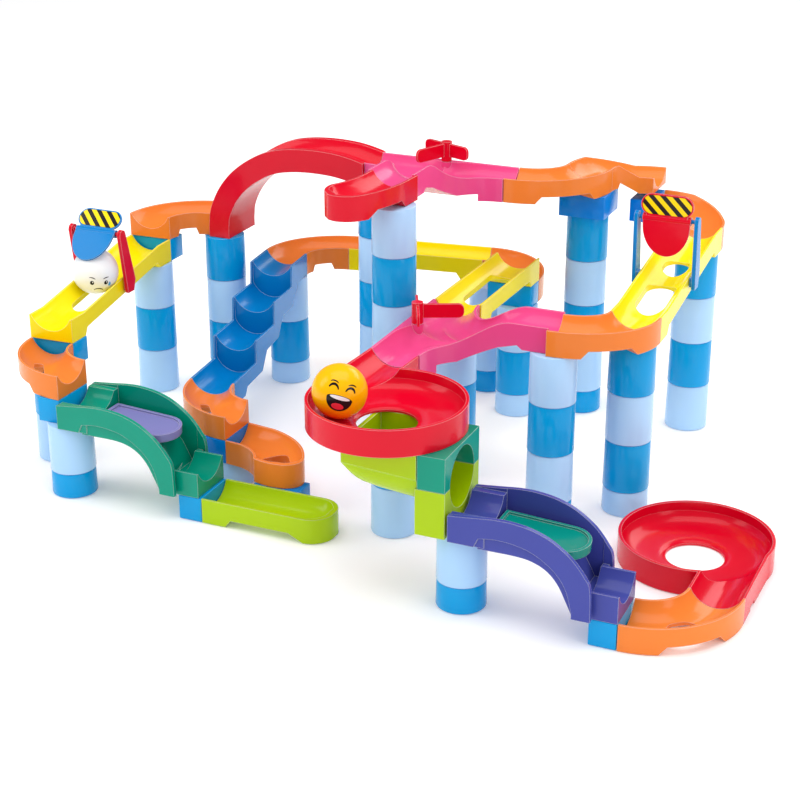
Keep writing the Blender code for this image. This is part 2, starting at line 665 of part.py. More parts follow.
# ---------------------------------------------------------------- closed-end tracks
def closed_track(name, start, end, colour, end_taper, floor_rise=0.0, slot=None, raised=True):
    """Channelled bar whose far end is closed by a rounded wall."""
    x, y, turn, drop = local_end(start, end)
    path = plan_path(x, y, turn)
    length = path[-1][0]
    half = TRACK_WIDTH / 2
    marks = [GAP / 2, FOOT, FOOT + 6]
    steps = max(3, int(round(abs(math.degrees(path[-1][3])) / 12)))
    finish = length - end_taper
    marks += [FOOT + 6 + (finish - FOOT - 6) * i / steps for i in range(1, steps + 1)]
    for share in (0.35, 0.62, 0.82, 0.94, 1.0):
        marks.append(finish + end_taper * share)
    blank = []
    groove = []
    for distance in marks:
        row = at_length(path, distance)
        head = Vector((math.cos(row[3]), math.sin(row[3]), 0.0))
        point = Vector((row[1], row[2], drop * ramp(distance, FOOT, length)))
        if distance == GAP / 2:
            point = Vector((GAP / 2, 0.0, 0.0))
        side = Vector((-head.y, head.x, 0.0))
        beyond = max(0.0, distance - finish) / end_taper
        outer = half * math.sqrt(max(0.04, 1 - (beyond * 0.97) ** 2))
        under = UNDERCUT * ramp(distance, FOOT, FOOT + 6) * ramp(length - distance, 30, 36)
        if not raised:
            under = 0.0
        outline = [(-outer, under), (outer, under), (outer, LEVEL), (-outer, LEVEL)]
        blank.append((point, side, (0, 0, 1), outline))
        shrink = max(0.0, distance - (finish - 3)) / (end_taper - 1.5)
        inner = (half - RIM) * math.sqrt(max(0.0, 1 - shrink * shrink))
        if inner > 2.0 and distance != GAP / 2:
            rise = floor_rise * ramp(distance, FOOT, length)
            depth = CHANNEL_DEPTH * (1 - 0.45 * shrink * shrink) - rise
            base = LEVEL - depth
            groove.append((point + Vector((0, 0, base)), side, (0, 0, 1),
                           groove_section(inner, depth, 20.0)))
    mouth = (Vector((-5.0, 0.0, LEVEL - CHANNEL_DEPTH)), Vector((0, 1, 0)), (0, 0, 1),
             groove_section(half - RIM, CHANNEL_DEPTH, 20.0))
    item = loft(name, blank, colour)
    place(item, start[0], start[1], start[3] * LEVEL, start[2])
    if slot:
        centre, size, width, angle = slot
        cut(item, oval_cutter(name + "_slot", centre, size, width, -20.0, 20.0, angle))
    cut(item, loft(name + "_way", [mouth] + groove))
    return item


# ---------------------------------------------------------------- catch ramp and tunnel
def trough_section(half, low, round_low, top):
    """Outline with upright sides and a round belly, as (side, height) pairs."""
    inset = half - CATCH_INSET
    outline = [(half, top), (half, low)]
    for i in range(9):
        angle = math.radians(180 * i / 8)
        height = low - CATCH_INSET - (low - CATCH_INSET - round_low) * math.sin(angle)
        outline.append((inset * math.cos(angle), height))
    outline += [(-half, low), (-half, top)]
    return outline


def catch_ramp(name, x, y, level):
    """Trough that catches the ball under the dish, one piece with the tunnel's lower half."""
    low = -TUNNEL_THICK
    item = box(name, (low - 2, -CATCH_HALF, 0.0), (0.0, CATCH_HALF, TUNNEL_SEAM - GAP), "lime")
    place(item, x, y, level * LEVEL)
    stations = []
    space = []
    for share, belly in CATCH_BELLY:
        u = low - 0.7 - (CATCH_LENGTH - 0.7) * share
        outline = trough_section(CATCH_HALF, 51.0 + 4.0 * share, belly, TUNNEL_TOP)
        stations.append(((u, 0, 0), (0, 1, 0), (0, 0, 1), outline))
    for share, belly in CATCH_SPACE:
        u = low - CATCH_LENGTH * share
        outline = trough_section(CATCH_HALF - CATCH_WALL, 52.5 + 4.0 * share, belly, TUNNEL_TOP + 10)
        space.append(((u, 0, 0), (0, 1, 0), (0, 0, 1), outline))
    join(item, loft(name + "_belly", stations))
    cut(item, loft(name + "_space", space))
    cut(item, rod(name + "_bore", TUNNEL_RADIUS, (low - 4, 0, TUNNEL_AXIS), (5, 0, TUNNEL_AXIS), 28))
    return item


def tunnel_top(name, x, y, level):
    """Upper tunnel half: a block with an arched passage, its flat top carries the dish."""
    item = box(name, (-TUNNEL_THICK + 0.1, -CATCH_HALF, TUNNEL_SEAM), (0.0, CATCH_HALF, TUNNEL_TOP), "green")
    place(item, x, y, level * LEVEL)
    return cut(item, rod(name + "_bore", TUNNEL_RADIUS, (-TUNNEL_THICK - 5, 0, TUNNEL_AXIS),
                         (5, 0, TUNNEL_AXIS), 28))


# ---------------------------------------------------------------- swing gates
def gate_frame(name, x, y, hinge_z, foot_z, foot_shift, colour):
    """Two posts outside the track walls, held by the pivot rod. The origin is on the rod."""
    drop = hinge_z - foot_z
    item = rod(name, GATE_ROD, (-GATE_HALF - 2, 0, 0), (GATE_HALF + 2, 0, 0), 16, colour)
    place(item, x, y, hinge_z)
    w = POST_WIDTH / 2
    post = [(-w, 0), (-w * 0.7, w * 0.7), (0, w), (w * 0.7, w * 0.7), (w, 0),
            (foot_shift + w + 4, -drop + 12), (foot_shift + w, -drop), (foot_shift - w, -drop)]
    for sign, word in ((1, "right"), (-1, "left")):
        turned_post = [(b, a) for b, a in post]
        low, high = sorted((sign * GATE_HALF, sign * (GATE_HALF + POST_THICK)))
        tool = flat_prism(f"{name}_{word}", turned_post, -high, -low, axis="Y")
        tool.rotation_euler = (0, 0, math.radians(90))
        join(item, tool)
        low, high = sorted((sign * CLIP_INNER, sign * (GATE_HALF + 0.5)))
        join(item, box(f"{name}_clip_{word}", (low, foot_shift - w + 1, -drop + 2),
                       (high, foot_shift + w - 1, -drop + 11)))
    return item


def gate_flap(name, x, y, hinge_z, swing, colour, flap_length):
    """D-shaped flap under the rod and a plate above it. The origin is on the rod."""
    half = FLAP_HALF
    item = rod(name, FLAP_TUBE, (-half - 0.5, 0, 0), (half + 0.5, 0, 0), 16, colour)
    place(item, x, y, hinge_z)
    item.rotation_euler = (math.radians(swing), 0, 0)
    outline = [(half, 1.0), (half, -FLAP_SHOULDER)]
    for i in range(1, 10):
        angle = math.radians(180 * i / 10)
        outline.append((half * math.cos(angle),
                        -FLAP_SHOULDER - (flap_length - FLAP_SHOULDER) * math.sin(angle)))
    outline += [(-half, -FLAP_SHOULDER), (-half, 1.0)]
    join(item, flat_prism(name + "_d", outline, -3.7, -1.7, axis="Y"))
    plate = [(half - 3, -1.0)]
    for i in range(0, 9):
        angle = math.radians(-60 + 150 * i / 8)
        plate.append((EAR_CENTRE[0] + EAR_RADIUS * math.cos(angle),
                      EAR_CENTRE[1] + EAR_RADIUS * math.sin(angle)))
    plate += [(-px, pz) for px, pz in reversed(plate)]
    join(item, flat_prism(name + "_plate", plate, -3.4, -1.4, axis="Y"))
    cut(item, rod(name + "_bore", GATE_ROD + 0.5, (-half - 5, 0, 0), (half + 5, 0, 0), 16))
    return item


def ball(name, x, y, z, colour):
    bm = bmesh.new()
    bmesh.ops.create_uvsphere(bm, u_segments=18, v_segments=10, radius=BALL_RADIUS)
    item = from_bmesh(bm, name, colour)
    return place(item, x, y, z)


# ---------------------------------------------------------------- the layout
def build_top_route():
    closed_track("start_piece", (-262, 35.8, 270, 11), (-292, -57, 222, 11), "red", 24.0,
                 floor_rise=3.0, slot=((52.0, -3.0), 30.0, 9.0, -8.0))
    junction("junction_top", -266, 167, -90, 10, 78.7, JUNCTION_HUB_TOP)
    diverter("diverter_top", -266, 181, 11, 158)
    arch("arch", -345, 168, 180, 7, 11)
    track("curve_a", (-187, 168, 0, 10), (-121, 228, 90, 10), "orange")
    track("curve_b", (-121, 228, 90, 10), (-60, 286, 0, 9.4), "orange", feet=(True, False))
    track("curve_c", (-60, 286, 0, 8.4), (0, 228, 270, 8), "orange", feet=(False, True))
    block("half_block_x", -85, 261, BLOCK_SHORT - GAP, BLOCK_LONG, 8.4, "deep_blue")
    slide = track("slide_right", (0, 228, 270, 8), (0, 3, 270, 7), "yellow")
    cut(slide, oval_cutter("slide_right_oval", (156, 0), 64, 30, -40, 8))
    cut(slide, oval_cutter("slide_right_small", (84, 0), 34, 26, -40, 14))
    track("curve_mid", (0, 2.6, 270, 7), (-62.3, -48, 180, 7), "orange")


def build_middle_route():
    junction("junction_low", -193.5, -42, 0, 6, 76.0, JUNCTION_HUB_LOW)
    diverter("diverter_low", -203.5, -42, 7, 295)
    slide = track("slide_two", (-192, 34.3, 90, 6), (-190, 202, 90, 6), "yellow")
    cut(slide, oval_cutter("slide_two_oval", (84, 0), 96, 25, -10, 18))
    track("curve_rear", (-190, 202, 90, 5), (-250, 266.5, 188.4, 5), "orange")
    track("straight_rear", (-250, 266.5, 188.4, 5), (-405, 243.6, 188.4, 5), "yellow")
    track("curve_stairs_top", (-405, 243.6, 188.4, 5), (-462, 181, 276.1, 5), "orange")
    stairs("stairs", (-462, 181, 276, 5), (-439, -35, 276, 2))
    foot = track("curve_stairs_foot", (-439, -35, 276, 2), (-380, -90, 360, 2), "orange")
    cut(foot, oval_cutter("curve_stairs_foot_slot", (44, 12), 34, 9, -10, 18, 32))
    closed_track("cup_end", (-380, -90, 0, 1), (-309, -144.8, -86, 1), "orange", 14.0,
                 slot=((57.0, -24.0), 34.0, 25.0, -55.0), raised=False)
    block("block_cup", -333, -145.5, BLOCK_LONG, BLOCK_SHORT - GAP, 0, "blue")


def build_left_route():
    track("curve_tl", (-530.3, 157, 180, 7), (-589, 98, 272, 7), "orange")
    slide = track("slide_left", (-589, 98, 272, 6), (-581, -112, 272, 5), "yellow")
    cut(slide, oval_cutter("slide_left_oval", (128, 0), 60, 22, -40, 14))
    curve = track("curve_left", (-581, -112, 272, 4), (-519, -169, 360, 4), "orange")
    cut(curve, oval_cutter("curve_left_slot", (44, 12), 34, 9, -10, 18, 35))
    small_slide("slide_green", -515, -171, 0, 1, "green")
    tongue("tongue_lilac", -515, -171, 0, 1, "lilac")
    block("half_block_ground_l", -387.2, -196, BLOCK_SHORT - GAP, BLOCK_LONG, 0, "blue")
    closed_track("trough_lime", (-362, -171, 0, 0), (-232, -171, 0, 0), "lime", 22.0,
                 slot=((64.0, -3.0), 50.0, 8.0, 0.0))


def build_right_route():
    dish("dish_high", -193.5, -119.6, 267, 6, 1)
    catch_ramp("ramp_lime", -80, -231, 3)
    tunnel_top("tunnel_green", -80, -231, 3)
    small_slide("slide_purple", -77, -238, 0, 1, "violet")
    tongue("tongue_green", -77, -238, 0, 1, "green")
    block("half_block_ground_r", 47.8, -263, BLOCK_SHORT - GAP, BLOCK_LONG, 0, "blue")
    curve = track("curve_br", (73.2, -238, 0, 0), (135, -177, 90, 0), "orange")
    cut(curve, oval_cutter("curve_br_hole", (46, 14), 30, 22, -10, 18, 42))
    dish("dish_low", 135, -176.8, 90, 0, 1)


def build_gates_and_balls():
    gate_frame("gate_left_frame", -585, -12, 212.5, 147, 10, "red")
    gate_flap("gate_left_flap", -585, -12, 212.5, -45, "blue", 36)
    gate_frame("gate_right_frame", 0, 97, 267, 199, 4, "blue")
    gate_flap("gate_right_flap", 0, 97, 267, 0, "red", 37)
    ball("ball_yellow", -193.0, -236.4, 180.3, "ball_yellow")
    ball("ball_white", -584.6, -20.5, 171.4, "white")


def build_columns():
    long, short = BLOCK_LONG, BLOCK_SHORT
    column("column_01", -583, 90, 6, (4, 2), (-614, 99.4, long, short))
    column("column_02", -520, 144, 7, (5, 3, 1))
    column("column_03", -457, 175, 5, (3, 1))
    column("column_04", -252, 12, 11, (9, 7, 5, 3, 1))
    column("column_05", -326, 138, 10, (8, 6, 4, 2))
    column("column_06", -121, 228, 9, (7, 5, 3, 1), (-146, 203, long, long))
    column("column_07", 0, 228, 8, (6, 4, 2))
    column("column_08", 0, 0, 7, (5, 3, 1))
    column("column_09", -60, -55, 7, (5, 3, 1))
    column("column_10", -184, 189, 5, (3, 1), (-215, 176.7, long, short))
    column("column_11", -238, 243, 5, (3, 1))
    column("column_12", -187, 14, 6, (4, 2))
    column("column_13", -188, -132, 6, (4, 2))
    column("column_14", -76, -239, 3, (1,))
    column("column_15", -516, -182, 3, (1,), (-544, -194, short, long))
    column("column_16", -578, -116, 4, (2,), (-606, -110.4, long, short))
    column("column_17", -382, -92, 1, (), (-405.2, -115, short, long))
    column("column_18", -439, -37, 2, ())


def main():
    build_top_route()
    build_middle_route()
    build_left_route()
    build_right_route()
    build_gates_and_balls()
    build_columns()


main()
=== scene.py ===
"""Looks of the marble run: finer tracks, tubes in two colours, glossy plastics, studio.

All sizes are in millimetres on one grid: the corner column stands at (0, 0), one level is
25 mm high, +X runs along the long side and +Y across it. The model is centred at the end.
"""
import json
import math

import bmesh
import bpy
from mathutils import Euler, Matrix, Vector

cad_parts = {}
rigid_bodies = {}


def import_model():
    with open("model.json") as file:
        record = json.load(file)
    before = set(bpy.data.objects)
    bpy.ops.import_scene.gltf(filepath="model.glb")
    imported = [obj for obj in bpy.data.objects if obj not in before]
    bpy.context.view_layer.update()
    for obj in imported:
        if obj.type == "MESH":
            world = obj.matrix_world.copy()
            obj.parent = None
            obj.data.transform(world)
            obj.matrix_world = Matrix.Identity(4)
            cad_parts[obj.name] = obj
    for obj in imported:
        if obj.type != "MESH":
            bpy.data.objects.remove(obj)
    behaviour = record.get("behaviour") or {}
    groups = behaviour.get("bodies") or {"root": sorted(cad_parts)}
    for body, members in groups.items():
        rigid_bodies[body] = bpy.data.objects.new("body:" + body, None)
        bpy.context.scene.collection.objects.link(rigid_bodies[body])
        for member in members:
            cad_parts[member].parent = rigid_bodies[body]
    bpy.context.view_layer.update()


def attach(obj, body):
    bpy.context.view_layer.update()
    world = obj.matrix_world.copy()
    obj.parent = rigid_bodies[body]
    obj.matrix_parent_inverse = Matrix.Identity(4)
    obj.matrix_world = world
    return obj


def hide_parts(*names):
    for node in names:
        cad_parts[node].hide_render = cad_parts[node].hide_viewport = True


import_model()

# ---------------------------------------------------------------- driving dimensions
MM = 0.001
CENTRE_X = -227.25
CENTRE_Y = 8.9
LEVEL = 25.0
GAP = 0.3

TRACK_WIDTH = 50.0
RIM = 2.0
CHANNEL_DEPTH = 15.0
UNDERCUT = 7.5
FOOT = 25.0
FOOT_SLANT = 5.0
ARC_STEPS = 16
TURN_STEP = 4.0

TUBE_RADIUS = 22.5
TUBE_SIDES = 64
TUBE_TAPER = 0.5
BLOCK_LONG = 50.0
BLOCK_SHORT = 25.0

BALL_RADIUS = 24.4
DISH_RADIUS = 71.5
DISH_HOLE = 27.0
DISH_WALL = 3.0
DISH_INLET_SIDE = 44.0
DISH_INLET_AHEAD = 100.0

JUNCTION_STEM = 131.0
JUNCTION_HUB_TOP = -14.0
JUNCTION_HUB_LOW = -10.0
BLADE_LENGTHS = (31.0, 45.0, 31.0)
BLADE_LOW = 5.0
BLADE_HIGH = 19.0
BLADE_THICK = 2.6
HUB_RADIUS = 5.6
HUB_HEIGHT = 21.0
PIN_RADIUS = 2.2

SMALL_SLIDE_LENGTH = 150.0
SIDE_INNER = 30.0
SIDE_OUTER = 34.0
RAIL_THICK = 4.4
TONGUE_AXIS = (70.0, 53.0)
TONGUE_HALF = 24.5
TONGUE_BACK = -38.0
TONGUE_ROUND_FROM = 24.0
TONGUE_ROUND = 22.0
TONGUE_PIN = 2.1
TONGUE_TILT = 3.0
TONGUE_LOW = -2.5
TONGUE_HIGH = 5.5
TONGUE_FLOOR = 3.4
TONGUE_RIM = 3.0

CATCH_LENGTH = 71.0
CATCH_HALF = 39.0
CATCH_WALL = 3.0
CATCH_INSET = 1.6
CATCH_BELLY = ((0.0, 20.0), (0.3, 21.8), (0.6, 24.2), (0.78, 27.0), (0.85, 29.4), (0.9, 32.8), (0.94, 37.2),
               (0.97, 42.0), (0.99, 46.8), (1.0, 50.0))
CATCH_SPACE = ((-0.02, 24.0), (0.45, 27.0), (0.76, 31.5), (0.88, 38.0), (0.945, 47.0))
TUNNEL_THICK = 25.7
TUNNEL_RADIUS = 27.5
TUNNEL_AXIS = 43.5
TUNNEL_SEAM = 43.0
TUNNEL_TOP = 75.0 - GAP

GATE_HALF = 28.0
POST_WIDTH = 11.0
POST_THICK = 4.0
GATE_ROD = 2.0
CLIP_INNER = 25.8
FLAP_HALF = 23.5
FLAP_SHOULDER = 6.0
FLAP_TUBE = 4.2
FLAP_THICK = 2.0
FLAP_FACE = -3.7
PLATE_FACE = -3.4
STICKER_FACE = -3.75
STICKER_THICK = 0.25
STICKER_INSET = 1.6
EAR_RADIUS = 11.0
EAR_CENTRE = (15.0, 14.0)

PALETTE = {
    "red": (0.68, 0.0, 0.018), "pink": (0.78, 0.07, 0.25), "orange": (0.82, 0.215, 0.032),
    "yellow": (0.93, 0.76, 0.0), "lime": (0.39, 0.58, 0.0), "green": (0.0, 0.29, 0.19),
    "blue": (0.0, 0.20, 0.54), "deep_blue": (0.0, 0.22, 0.74), "cyan_blue": (0.0, 0.33, 0.71),
    "pale_blue": (0.42, 0.66, 0.94), "violet": (0.055, 0.068, 0.34), "lilac": (0.22, 0.21, 0.49),
    "teal": (0.0, 0.25, 0.20), "white": (0.86, 0.87, 0.88), "ball_yellow": (0.93, 0.47, 0.0),
    "ink": (0.012, 0.01, 0.012), "tongue": (0.78, 0.04, 0.07), "tear": (0.08, 0.40, 0.85),
    "sticker": (0.93, 0.66, 0.0),
}
MOVERS = ("diverter_top", "diverter_low", "gate_left_flap", "gate_right_flap", "tongue_lilac",
          "tongue_green", "ball_yellow", "ball_white")
EDGE_RADIUS = 0.0011
# Share of white mixed into the colour on rounded edges: a painted highlight.
EDGE_PAINTED_HIGHLIGHT = 0.38
POLISH = (0.17, 0.30)
FINISH = {"IOR": 1.46, "Specular IOR Level": 0.16, "Coat Weight": 0.2, "Coat Roughness": 0.06,
          "Subsurface Weight": 0.04, "Subsurface Radius": (1.0, 0.8, 0.7), "Subsurface Scale": 0.002}
STRIPE = 0.0062

# Column x, y, top level, seam levels, tones from the top tube down, and the low corner and size of any
# block on top, which takes the last tone.
TUBE_TONE = {"p": "pale_blue", "b": "cyan_blue", "d": "deep_blue"}
COLUMNS = (
    (-583, 90, 6, (4, 2), "pbpb", (-614, 99.4, BLOCK_LONG, BLOCK_SHORT)),
    (-520, 144, 7, (5, 3, 1), "bpbp", None),
    (-457, 175, 5, (3, 1), "pbp", None),
    (-252, 12, 11, (9, 7, 5, 3, 1), "pbpbpb", None),
    (-326, 138, 10, (8, 6, 4, 2), "bpbpb", None),
    (-121, 228, 9, (7, 5, 3, 1), "bpbpbd", (-146, 203, BLOCK_LONG, BLOCK_LONG)),
    (0, 228, 8, (6, 4, 2), "bpbp", None),
    (0, 0, 7, (5, 3, 1), "bpbp", None),
    (-60, -55, 7, (5, 3, 1), "pbpb", None),
    (-184, 189, 5, (3, 1), "pbpb", (-215, 176.7, BLOCK_LONG, BLOCK_SHORT)),
    (-238, 243, 5, (3, 1), "ppb", None),
    (-187, 14, 6, (4, 2), "pbp", None),
    (-188, -132, 6, (4, 2), "pbp", None),
    (-76, -239, 3, (1,), "pb", None),
    (-516, -182, 3, (1,), "pbb", (-544, -194, BLOCK_SHORT, BLOCK_LONG)),
    (-578, -116, 4, (2,), "bpb", (-606, -110.4, BLOCK_LONG, BLOCK_SHORT)),
    (-382, -92, 1, (), "pd", (-405.2, -115, BLOCK_SHORT, BLOCK_LONG)),
    (-439, -37, 2, (), "p", None),
)

# Name, x, y, rod height, post foot height and shift, swing, flap length, frame and flap colours.
GATES = (("gate_left", -585, -12, 212.5, 147, 10, -45, 36, "red", "blue"),
         ("gate_right", 0, 97, 267, 199, 4, 0, 37, "blue", "red"))

CAMERA_AT = (0.63155, -1.4672, 0.7397)
CAMERA_TURN = Euler((math.radians(90 - 22.676), 0.0, math.radians(23.85)), "XYZ")
CAMERA_LENS = 76.44
FLOOR_SIZE = 60.0
FLOOR_GLOW = 0.10
SKY_LIGHT = 0.80
SKY_IN_GLOSS = 0.12
# Name, place, aim, size and power of each soft box, in metres and watts.
LIGHTS = (("top_light", (0.1, -0.2, 2.2), (0, 0, 0), (2.2, 1.6), 26),
          ("left_light", (-1.9, -1.0, 1.5), (0, 0, 0.1), (1.0, 1.4), 13),
          ("rear_light", (0.8, 2.1, 1.5), (0, 0, 0.15), (1.8, 0.9), 16),
          ("right_light", (2.0, -0.8, 0.9), (0, 0, 0.12), (0.7, 1.2), 7))

# Piece name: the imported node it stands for, if any, and the body it rides on.
STANDS_FOR = {}


# ---------------------------------------------------------------- scene and materials
def new_collection(name):
    group = bpy.data.collections.new(name)
    bpy.context.scene.collection.children.link(group)
    return group


def add_noise(tree, where, scale, detail, roughness):
    """Noise over the piece's own coordinates."""
    made = tree.nodes.new("ShaderNodeTexNoise")
    made.inputs["Scale"].default_value = scale
    made.inputs["Detail"].default_value = detail
    made.inputs["Roughness"].default_value = roughness
    tree.links.new(where.outputs["Object"], made.inputs["Vector"])
    return made.outputs["Fac"]


def add_mix(tree, share, first, second):
    """Colour mix. The first colour may be another node's output."""
    made = tree.nodes.new("ShaderNodeMix")
    made.data_type = "RGBA"
    tree.links.new(share, made.inputs[0])
    if isinstance(first, tuple):
        made.inputs[6].default_value = (*first, 1.0)
    else:
        tree.links.new(first, made.inputs[6])
    made.inputs[7].default_value = (*second, 1.0)
    return made.outputs[2]


def add_span(tree, value, **limits):
    """Map Range node with its named limits set."""
    made = tree.nodes.new("ShaderNodeMapRange")
    for key, number in limits.items():
        made.inputs[key.replace("_", " ")].default_value = number
    tree.links.new(value, made.inputs["Value"])
    return made.outputs["Result"]


def add_math(tree, operation, first, second):
    """Math node. The second value may be a number or another node's output."""
    made = tree.nodes.new("ShaderNodeMath")
    made.operation = operation
    tree.links.new(first, made.inputs[0])
    if isinstance(second, float):
        made.inputs[1].default_value = second
    else:
        tree.links.new(second, made.inputs[1])
    return made.outputs[0]


def painted_highlight_mask(tree, edge):
    """Mask of the painted edge highlight: one on the rounded edges, where the bevelled normal leaves the
    face's own, and zero elsewhere.
    """
    face = tree.nodes.new("ShaderNodeNewGeometry")
    match = tree.nodes.new("ShaderNodeVectorMath")
    match.operation = "DOT_PRODUCT"
    tree.links.new(edge.outputs["Normal"], match.inputs[0])
    tree.links.new(face.outputs["Normal"], match.inputs[1])
    return add_span(tree, match.outputs["Value"], From_Min=0.985, From_Max=0.80)


def plastic(name):
    """Glossy moulded plastic: rounded edges mixed toward white as a painted highlight, faint ripple, uneven
    polish and slight tone drift.
    """
    material = bpy.data.materials.get("look_" + name)
    if material:
        return material
    material = bpy.data.materials.new("look_" + name)
    material.use_nodes = True
    tree = material.node_tree
    shader = tree.nodes["Principled BSDF"]
    colour = PALETTE[name]
    where = tree.nodes.new("ShaderNodeTexCoord")
    edge = tree.nodes.new("ShaderNodeBevel")
    edge.samples = 6
    edge.inputs["Radius"].default_value = EDGE_RADIUS
    tone = add_mix(tree, add_noise(tree, where, 18.0, 2.0, 0.5), tuple(c * 0.93 for c in colour),
                   tuple(min(1.0, c * 1.05) for c in colour))
    # Painted highlight: the rounded edges get a paler copy of the colour.
    painted_edge_highlight = tuple(c + (1.0 - c) * EDGE_PAINTED_HIGHLIGHT for c in colour)
    tree.links.new(add_mix(tree, painted_highlight_mask(tree, edge), tone, painted_edge_highlight), shader.inputs["Base Color"])
    polish = add_noise(tree, where, 55.0, 4.0, 0.6)
    tree.links.new(add_span(tree, polish, To_Min=POLISH[0], To_Max=POLISH[1]), shader.inputs["Roughness"])
    ripple = tree.nodes.new("ShaderNodeBump")
    ripple.inputs["Strength"].default_value = 0.035
    ripple.inputs["Distance"].default_value = 0.0004
    tree.links.new(add_noise(tree, where, 420.0, 3.0, 0.6), ripple.inputs["Height"])
    tree.links.new(edge.outputs["Normal"], ripple.inputs["Normal"])
    tree.links.new(ripple.outputs["Normal"], shader.inputs["Normal"])
    tree.links.new(edge.outputs["Normal"], shader.inputs["Coat Normal"])
    for key, value in FINISH.items():
        shader.inputs[key].default_value = value
    return material


def striped(name, first, second, width):
    """Printed sheet with slanting stripes in two colours."""
    material = plastic(name)
    tree = material.node_tree
    apart = tree.nodes.new("ShaderNodeSeparateXYZ")
    where = tree.nodes.new("ShaderNodeTexCoord")
    tree.links.new(where.outputs["Object"], apart.inputs["Vector"])
    slope = add_math(tree, "ADD", apart.outputs["X"], apart.outputs["Z"])
    mask = add_math(tree, "GREATER_THAN", add_math(tree, "PINGPONG", slope, width), width / 2)
    tone = add_mix(tree, mask, first, second)
    tree.links.new(tone, tree.nodes["Principled BSDF"].inputs["Base Color"])
    return material


PARTS = new_collection("marble_run")
TOOLS = new_collection("cutters")


def place(item, x, y, z, yaw=0.0):
    """Stand an object at grid millimetres, turned about the vertical."""
    item.location = Vector((x - CENTRE_X, y - CENTRE_Y, z)) * MM
    item.rotation_euler = (0.0, 0.0, math.radians(yaw))
    return item


def add_object(name, mesh, colour=None):
    """Link a finished mesh as a shown piece, or as a cutter when it has no colour."""
    if colour:
        item = bpy.data.objects.new("look_" + name, mesh)
        item["tone"] = colour
        mesh.materials.clear()
        mesh.materials.append(plastic(colour))
        PARTS.objects.link(item)
        STANDS_FOR[item.name] = (name, name if name in MOVERS else "run")
    else:
        item = bpy.data.objects.new(name, mesh)
        TOOLS.objects.link(item)
    return item


def from_bmesh(bm, name, colour=None):
    bmesh.ops.recalc_face_normals(bm, faces=bm.faces)
    bmesh.ops.scale(bm, vec=(MM, MM, MM), verts=bm.verts)
    mesh = bpy.data.meshes.new(name)
    bm.to_mesh(mesh)
    bm.free()
    return add_object(name, mesh, colour)


def cut(item, tool, operation="DIFFERENCE"):
    """Boolean with a tool that is modelled in the item's own frame."""
    tool.parent = item
    modifier = item.modifiers.new(tool.name, "BOOLEAN")
    modifier.operation = operation
    modifier.solver = "EXACT"
    modifier.object = tool
    return item


def join(item, tool):
    return cut(item, tool, "UNION")


def soften(item, width):
    """Rounded edges on a plain convex piece."""
    modifier = item.modifiers.new("soft_edges", "BEVEL")
    modifier.width = width * MM
    modifier.segments = 3
    modifier.limit_method = "ANGLE"
    modifier.angle_limit = math.radians(40)


def spline(p0, p1, p2, p3, steps):
    """Points of a smooth curve from p1 towards p2, which is left out."""
    fine = []
    for step in range(steps):
        t = step / steps
        fine.append(tuple(0.5 * (2 * b + (c - a) * t + (2 * a - 5 * b + 4 * c - d) * t * t
                                 + (3 * b - a - 3 * c + d) * t ** 3)
                          for a, b, c, d in zip(p0, p1, p2, p3)))
    return fine


def catmull(points, steps=4):
    """Smooth open line through the points."""
    fine = []
    for i in range(len(points) - 1):
        fine += spline(points[max(0, i - 1)], points[i], points[i + 1],
                       points[min(len(points) - 1, i + 2)], steps)
    return fine + [points[-1]]


def rounded(points, sharp=50.0):
    """Closed outline with its gentle corners smoothed and its sharp ones kept."""
    count = len(points)
    corner = []
    for i in range(count):
        a, b, c = points[i - 1], points[i], points[(i + 1) % count]
        first = math.atan2(b[1] - a[1], b[0] - a[0])
        second = math.atan2(c[1] - b[1], c[0] - b[0])
        turn = abs((second - first + math.pi) % (2 * math.pi) - math.pi)
        corner.append(math.degrees(turn) > sharp)
    fine = []
    for i in range(count):
        p1, p2 = points[i], points[(i + 1) % count]
        p0 = p1 if corner[i] else points[i - 1]
        p3 = p2 if corner[(i + 1) % count] else points[(i + 2) % count]
        fine += spline(p0, p1, p2, p3, 5)
    return fine


def arc(centre, radii, start, end, steps):
    """Points on an ellipse between two angles in degrees, both ends included."""
    points = []
    for i in range(steps + 1):
        angle = math.radians(start + (end - start) * i / steps)
        points.append((centre[0] + radii[0] * math.cos(angle), centre[1] + radii[1] * math.sin(angle)))
    return points


def mirrored(points):
    """Outline made of the points and their mirror image across the middle."""
    return points + [(-a, b) for a, b in reversed(points)]


def smooth_profile(points):
    """Bowl profile with its floor eased between the rim wall and the hole."""
    return points[:3] + catmull(points[2:8])[1:] + points[8:]


# ---------------------------------------------------------------- basic solids
def box(name, low, high, colour=None):
    """Box between two corners, in its own frame."""
    bm = bmesh.new()
    bmesh.ops.create_cube(bm, size=1.0)
    size = [high[i] - low[i] for i in range(3)]
    middle = [(high[i] + low[i]) / 2 for i in range(3)]
    bmesh.ops.scale(bm, vec=size, verts=bm.verts)
    bmesh.ops.translate(bm, vec=middle, verts=bm.verts)
    return from_bmesh(bm, name, colour)


def rod(name, radius, low, high, sides=24, colour=None):
    """Round bar between two points of its own frame."""
    start, end = Vector(low), Vector(high)
    bm = bmesh.new()
    bmesh.ops.create_cone(bm, cap_ends=True, segments=sides, radius1=radius,
                          radius2=radius, depth=(end - start).length)
    turn = (end - start).to_track_quat("Z", "Y").to_matrix().to_4x4()
    bmesh.ops.transform(bm, matrix=Matrix.Translation((start + end) / 2) @ turn, verts=bm.verts)
    return from_bmesh(bm, name, colour)


